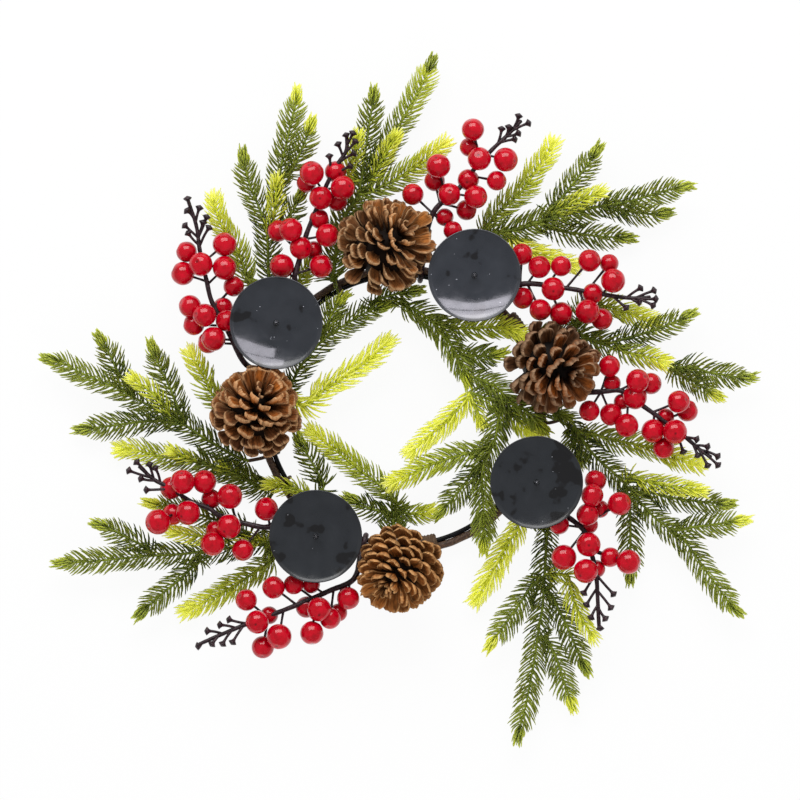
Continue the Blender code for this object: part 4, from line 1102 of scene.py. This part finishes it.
def add_fruit(stems, balls, path, berry, centre, rng):
    """A berry and its stalk, which leaves the spray's stem a little nearer to the ring."""
    radius = berry[2] / 2 * MM
    where, gap = nearest(path, centre)
    root = along(path, max(0, where - gap * 0.6))[0]
    away = centre - root
    if away.length < radius * 0.6:
        away = Vector((rng.uniform(-1, 1), rng.uniform(-1, 1), 1.2))
    else:
        middle = root.lerp(centre, 0.55) - UP * (0.12 * away.length)
        end = centre - away.normalized() * radius * 0.9
        stalk = smoothed([root, middle, end], 1.5 * MM)
        last = len(stalk) - 1
        radii = [STALK / 2 * (1 + 0.25 * abs(2 * k / last - 1)) for k in range(last + 1)]
        add_tube(stems, stalk, radii, 8)
    lean = Vector((rng.uniform(-0.2, 0.2), rng.uniform(-0.2, 0.2), rng.uniform(0, 0.7)))
    add_berry(balls, centre, radius, (away.normalized() + lean).normalized(), rng.uniform(0, 50))


def add_bud(stems, path, tip, rng):
    """A small bud on its own curved stalk."""
    where, gap = nearest(path, tip)
    root = along(path, max(0, where - gap - 3 * MM))[0]
    middle = root.lerp(tip, 0.5) + Vector((rng.uniform(-0.5, 0.5), rng.uniform(-0.5, 0.5), 0.3)) * MM
    curve = smoothed([root, middle, tip], 0.8 * MM)
    total = length_of(curve)
    left = [total - length_of(curve[:index + 1]) for index in range(len(curve))]
    add_tube(stems, curve, [bud_width(max(0.0, 1 - rest / BUD_LENGTH)) for rest in left], 8)


def bud_width(share):
    for (a, low), (b, high) in zip(BUD_OUTLINE, BUD_OUTLINE[1:]):
        if share <= b:
            return between((low, high), (share - a) / (b - a)) * MM
    return BUD_OUTLINE[-1][1] * MM


def make_spray(number, angle, stem, berries, buds):
    """A berry spray: its hooked stem, the stalk and berry of each fruit, and the buds."""
    rng = random.Random(300 + number)
    path = spots(stem, BERRY_LEVEL)
    fine = smoothed(hooked(angle, SPRAY_ROD, 1) + path, 1.5 * MM)
    radii = []
    for index, point in enumerate(fine):
        loss = SPRAY_LOSS * max(0, index / len(fine) - SPRAY_TAPER) / (1 - SPRAY_TAPER)
        radii.append((SPRAY_RADIUS - loss + 0.15 * noise.noise(point * 400)) * MM)
    stems = Shape()
    add_tube(stems, fine, radii, 10)
    balls = Shape("calyx")
    for berry, centre in zip(berries, berry_centres(berries)):
        add_fruit(stems, balls, path, berry, centre, rng)
    for tip in spots(buds, 0):
        tip.z = BERRY_LEVEL + rng.uniform(0.2, 0.9) * FRONT_LIFT
        add_bud(stems, path, tip, rng)
    piece(stems, f"berry_spray_{number}", "stems", "stem")
    piece(balls, f"berry_spray_{number}", "berries", "berry")


def add_scale(shape, root, tip, axis, form, width, thickness, curl, spoon, roll, painted_root_shade, warm, seed):
    """A woody scale: a plate with raised rims, hollow above and thickest near its tip."""
    length = (tip - root).length
    forward = (tip - root).normalized()
    across = Matrix.Rotation(roll, 3, forward) @ axis.cross(forward).normalized()
    upper = forward.cross(across)
    rings = []
    for share, breadth, depth in SCALE_FORMS[form]:
        rise = curl * max(0, (share - 0.4) / 0.6) ** 2
        points, rims, grains, shades = [], [], [], []
        half = width / 2 * breadth
        end = max(0, share - 0.94) / 0.06
        for c, s, rim in SCALE_SECTION:
            spot = root + forward * share * length + across * c * half
            spot = spot + upper * (s * thickness / 2 * depth + spoon * c * c * half + rise)
            uneven = noise.noise(Vector((share * 4, c * 2.5, seed))) * SCALE_UNEVEN
            ragged = noise.noise(Vector((c * 3, seed, 7.7))) * SCALE_RAGGED * length
            ragged *= max(0, share - 0.7) / 0.3
            bent = noise.noise(Vector((share * 1.6, seed, 3.1))) * SCALE_BENT * width * share
            points.append(spot + upper * uneven + forward * ragged + across * bent)
            rims.append(min(1, max(rim * min(1, share * 1.4), end if s > 0 else end * 0.5)))
            grains.append((c * half * GRAIN_ACROSS, share * length * GRAIN_ALONG, seed))
            # Painted shade: darker towards the root, and darker still on the underside
            shades.append(1 - painted_root_shade * (1 - share if s > -0.3 else 1 - share * 0.75))
        rings.append(shape.ring(points, rim=rims, grain=grains, shade=shades, warm=warm))
    shape.cap(rings[0])
    shape.chain(rings, down=True)
    shape.cap(rings[-1], False)


def make_cone(number, middle, diameter, height, lean, towards, look, first_turn):
    """A pinecone on its stalk: woody scales on a golden-angle spiral round a core."""
    rng = random.Random(500 + number)
    scales, forms, widths, thickness, spoon, loose, shrink, painted_root_shade, tips = look
    diameter, height = diameter * MM, height * MM
    axis = Matrix.Rotation(radians(lean), 3, radial(towards + 90)) @ UP
    leaning = radial(towards)
    centre = placed(*middle, CONE_BASE + CONE_STALK + height / 2 * axis.z) + leaning * CONE_SHIFT
    base = centre - axis * (height / 2)
    turned = axis.to_track_quat("Z", "Y").to_matrix()
    place = Matrix.Translation(base) @ turned.to_4x4()
    shape = Shape("shade", "rim", "grain", "warm")
    core = diameter * CORE_RADIUS
    outline = [(core * across, height * up) for across, up in CORE_OUTLINE] + in_mm(STALK_OUTLINE)
    # The core is painted near black: painted shade in the hollow between the scales
    add_lathe(shape, outline, 16, place, shade=0.1, grain=(0.0, 0.0, 0.0))
    for index in range(scales):
        share = ((index + 0.5) / scales) ** 1.2
        turn = radians(first_turn + index * GOLDEN_ANGLE) + rng.uniform(-loose, loose)
        out = turned @ Vector((cos(turn), sin(turn), 0))
        reach = diameter / 2 * sqrt(max(0.05, 1 - ((share - CONE_WIDEST) / CONE_SPAN) ** 2))
        uneven = rng.uniform(1 - loose / 2, 1 + loose / 2)
        reach *= (1 - shrink * share) * (1 + CONE_SWAY * out.dot(leaning)) * uneven
        tip_height = height * (0.08 + 0.84 * share + rng.uniform(-0.3, 0.3) * loose)
        root_height = height * (0.08 + 0.56 * share)
        root = base + axis * root_height + out * core * 0.7 * (1 - 0.6 * share)
        width = between(widths, share**1.2) * MM * rng.uniform(0.86, 1.12)
        add_scale(
            shape, root, base + axis * tip_height + out * reach, axis, forms[share >= 0.6], width,
            thickness * MM * rng.uniform(0.85, 1.15) * (1 - 0.15 * share), rng.uniform(-0.8, 1.6) * MM,
            spoon * rng.uniform(0.3, 1.5), rng.uniform(-1, 1) * loose * 2.2, painted_root_shade,
            min(1, max(0, share * 1.1 - 0.25 + rng.uniform(-0.35, 0.35))), number * 100 + index * 3.7,
        )
    # The small scales on top have roots painted fully dark: painted shade in the cone's tip
    for index in range(tips):
        out = turned @ radial(index * GOLDEN_ANGLE + 40)
        root = base + axis * height * 0.68 + out * 0.8 * MM
        spread = (1.8 + 4.6 * sqrt((index + 0.5) / tips)) * MM
        tip = base + axis * height * rng.uniform(0.84, 0.94) + out * spread
        add_scale(
            shape, root, tip, axis, "finger", 3.0 * MM, 2.0 * MM, 0, 0.1, rng.uniform(-0.3, 0.3), 1, 0.1,
            number * 100 + index * 1.9 + 60,
        )
    piece(shape, f"pinecone_{number}", "scales", f"cone_{number}", sharp=42)
    make_cone_wire(number, base, axis)


def make_cone_wire(number, base, axis):
    """A wire bent round the ring, whose other end loops round the cone's stalk."""
    middle = base - axis * CONE_STALK * 0.5
    towards = middle - RING_CENTRE
    angle = degrees(atan2(towards.y, towards.x))
    reach = (STALK_WIDTH + CONE_WIRE) / 2 + CLEARANCE
    inwards = (-radial(angle)).cross(axis).cross(-axis).normalized()
    loop = [base - axis * CONE_STALK * 1.25 + inwards * (reach + CONE_WIRE)]
    for step in range(18):
        turn = Matrix.Rotation(radians(20 * step), 3, axis)
        loop.append(middle + turn @ inwards * reach + axis * 0.06 * MM * step)
    shape = Shape()
    add_tube(shape, smoothed(hook(angle, CONE_WIRE, 1, last=135), 1 * MM) + loop, CONE_WIRE / 2, 8)
    piece(shape, f"cone_wire_{number}", "loop", "tie")


def make_rings():
    """The ring's round wire, and the wrapped stem that runs beside it on the outside."""
    for node, radius, rod, finish, swell in (
        ("wire_ring", RING_RADIUS, WIRE, "wire", 0),
        ("stem_ring", STEM_RADIUS, STEM, "wrap", 0.05),
    ):
        shape = Shape()
        rings = []
        for step in range(240):
            angle = 1.5 * step
            points = []
            for turn in around(14):
                half = (rod / 2 + CLEARANCE / 2) * (1 + swell * sin(radians(angle * 40) + turn))
                points.append(about_ring(angle, radius, half, turn))
            rings.append(shape.ring(points))
        shape.chain(rings + rings[:1])
        piece(shape, node, "rod", finish)


def make_sleeve(number, angle):
    """A wound tape sleeve: overlapping turns, pressed flat where it stands on the table."""
    shape = Shape("turns")
    count, windings = 26, 5.5
    half_span = degrees(SLEEVE_LENGTH / 2 / BUNDLE_RADIUS)
    rings = []
    for step in range(count + 1):
        share = step / count
        end = min(1, min(share, 1 - share) * 14)
        points, turns = [], []
        for turn in around(28):
            phase = (share * windings + turn / (2 * pi)) % 1
            half = SLEEVE_OUTER * (0.9 + 0.1 * phase) * (0.82 + 0.18 * end)
            point = about_ring(angle + half_span * (2 * share - 1), BUNDLE_RADIUS, half, turn)
            point.z = max(point.z, 0.0)
            points.append(point)
            turns.append(max(0.0, phase - 0.8) * 3)
        rings.append(shape.ring(points, turns=turns))
    shape.cap(rings[0], False)
    shape.chain(rings)
    shape.cap(rings[-1])
    piece(shape, f"tape_sleeve_{number}", "turns", "tape", sharp=50)


def dish_outline():
    """The dish's section: a flat seat, a side that curves up, a rolled lip and the underside."""
    hole, seat, lip = 1.6 * MM, 9.2 * MM, 0.38 * MM
    inner = [(hole, DISH_SHEET), (seat - 0.5 * MM, DISH_SHEET), (seat, DISH_SHEET + 0.08 * MM)]
    outer = []
    rim = DISH_RADIUS - 2 * lip
    for step in range(1, 15):
        share = step / 14
        radius = seat + (rim - seat) * share
        rise = (DISH_DEPTH - lip) * share**1.7
        inner.append((radius, DISH_SHEET + 0.12 * MM + rise))
        outer.append((radius + 0.2 * MM, rise))
    top = DISH_SHEET + DISH_DEPTH - lip
    roll = []
    for turn in range(120, -100, -24):
        x = DISH_RADIUS - lip + lip * cos(radians(turn))
        roll.append((x, top + lip * sin(radians(turn))))
    return inner + roll + list(reversed(outer)) + [(seat, 0), (hole, 0)]


def make_dish(number, angle):
    """A candle dish, its nail and its post, whose foot is bent round the ring."""
    place = Matrix.Translation(on_ring(angle, DISH_RING, DISH_UNDERSIDE))
    shape = Shape("outer", "wet")
    outline = dish_outline()
    outer = [radius / DISH_RADIUS for radius, _ in outline]
    add_lathe(shape, outline, 128, place, closed=True, outer=outer, wet=DISH_REFLECTION_BLOTCHES[number - 1])
    dish = piece(shape, f"candle_dish_{number}", "bowl", "enamel", sharp=40)
    shape = Shape()
    add_lathe(shape, in_mm(PIN_OUTLINE), 24, place)
    piece(shape, f"candle_pin_{number}", "nail", "pin", sharp=40)
    foot = hook(angle, POST, 1)
    level = foot[-1].z
    pad_top = DISH_UNDERSIDE - 1.5 * MM
    for turn in (0, 22, 45, 68, 90):
        bend = radians(turn)
        radius = DISH_RING - POST_BEND * (1 - sin(bend))
        foot.append(on_ring(angle, radius, level + POST_BEND * (1 - cos(bend))))
    foot.append(on_ring(angle, DISH_RING, pad_top - 0.6 * MM))
    shape = Shape()
    add_tube(shape, smoothed(foot, 1.2 * MM), POST / 2, 14)
    add_lathe(shape, in_mm(PAD_OUTLINE), 40, Matrix.Translation(on_ring(angle, DISH_RING, pad_top)))
    piece(shape, f"dish_post_{number}", "rod", "wire", sharp=50)
    return dish


def make_stage():
    """A pale floor that shows white to the camera and keeps a soft shadow."""
    mesh = bpy.data.meshes.new("floor")
    half = 6.0
    corners = [(-half, -half, 0), (half, -half, 0), (half, half, 0), (-half, half, 0)]
    mesh.from_pydata(corners, [], [(0, 1, 2, 3)])
    floor = add_object("floor", mesh)
    floor.location.z = -0.0002
    finish = bpy.data.materials.new("floor_white")
    finish.use_nodes = True
    nodes = Nodes(finish.node_tree)
    nodes.tree.nodes.clear()
    rays = nodes.node("ShaderNodeLightPath").outputs
    seen = nodes.math("MAXIMUM", rays["Is Camera Ray"], rays["Is Glossy Ray"])
    seen = nodes.math("MAXIMUM", seen, rays["Is Transmission Ray"])
    pale = nodes.node("ShaderNodeBsdfDiffuse", {"Color": (0.86, 0.86, 0.86, 1)}).outputs[0]
    white = nodes.node("ShaderNodeEmission").outputs[0]
    share = nodes.math("MULTIPLY", seen, 0.93)
    mixed = nodes.node("ShaderNodeMixShader", {0: share, 1: pale, 2: white}).outputs[0]
    nodes.node("ShaderNodeOutputMaterial", {"Surface": mixed})
    mesh.materials.append(finish)


def make_world():
    """A soft grey sky that the camera sees as white."""
    world = bpy.data.worlds.new("studio")
    bpy.context.scene.world = world
    world.use_nodes = True
    nodes = Nodes(world.node_tree)
    rays = nodes.node("ShaderNodeLightPath").outputs
    level = nodes.spread(rays["Is Camera Ray"], 0, 1, 0.55, 1.0)
    gloss = nodes.spread(rays["Is Glossy Ray"], 0, 1, 1.0, 0.5)
    sky = nodes.tree.nodes["Background"].inputs
    nodes.feed(sky["Color"], (1, 1, 1, 1))
    nodes.feed(sky["Strength"], nodes.math("MULTIPLY", level, gloss))


def add_panel(name, place, size, watts, colour=(1, 1, 1)):
    """A soft rectangular light that faces the wreath."""
    light = bpy.data.lights.new(name, "AREA")
    light.shape = "RECTANGLE"
    light.size, light.size_y = size
    light.energy = watts
    light.color = colour
    made = add_object(name, light)
    made.location = place
    made.rotation_euler = (PANEL_TARGET - Vector(place)).to_track_quat("-Z", "Y").to_euler()
    return made


def make_lights(dishes):
    """A soft key from the back, a fill, and for each of the first two dishes its own cards."""
    add_panel("key_panel", (-0.15, 1.5, 1.25), (2.0, 1.2), 34)
    fill = add_panel("fill_panel", (0.2, -1.6, 1.0), (2.4, 1.0), 12)
    fill.visible_glossy = False
    for number, (dish, cards) in enumerate(zip(dishes, DISH_CARDS), 1):
        lit = bpy.data.collections.new(f"lit_dish_{number}")
        lit.objects.link(dish)
        for index, (middle, size, turn, watts) in enumerate(cards):
            card = add_panel(f"card_{number}_{index}", middle, size, watts, CARD_COLOUR)
            card.rotation_euler = (0, 0, radians(turn))
            card.light_linking.receiver_collection = lit


def make_camera():
    data = bpy.data.cameras.new("camera")
    data.lens = CAMERA_LENS
    data.sensor_width = CAMERA_SENSOR
    made = add_object("camera", data)
    made.location = (-0.55 * MM, -0.55 * MM, 0.02 + FRAME_WIDTH * CAMERA_LENS / CAMERA_SENSOR)
    bpy.context.scene.camera = made


FINISHES = make_finishes()
make_rings()
for number, angle in enumerate(SLEEVE_ANGLES, 1):
    make_sleeve(number, angle)
dishes = [make_dish(number, angle) for number, angle in enumerate(DISH_ANGLES, 1)]
for number, cone in enumerate(CONES, 1):
    make_cone(number, *cone)
for number, pick in enumerate(PICKS, 1):
    make_pick(number, *pick)
for number, spray in enumerate(SPRAYS, 1):
    make_spray(number, *spray)
make_stage()
make_world()
make_lights(dishes)
make_camera()
bpy.context.scene.view_settings.view_transform = "Standard"
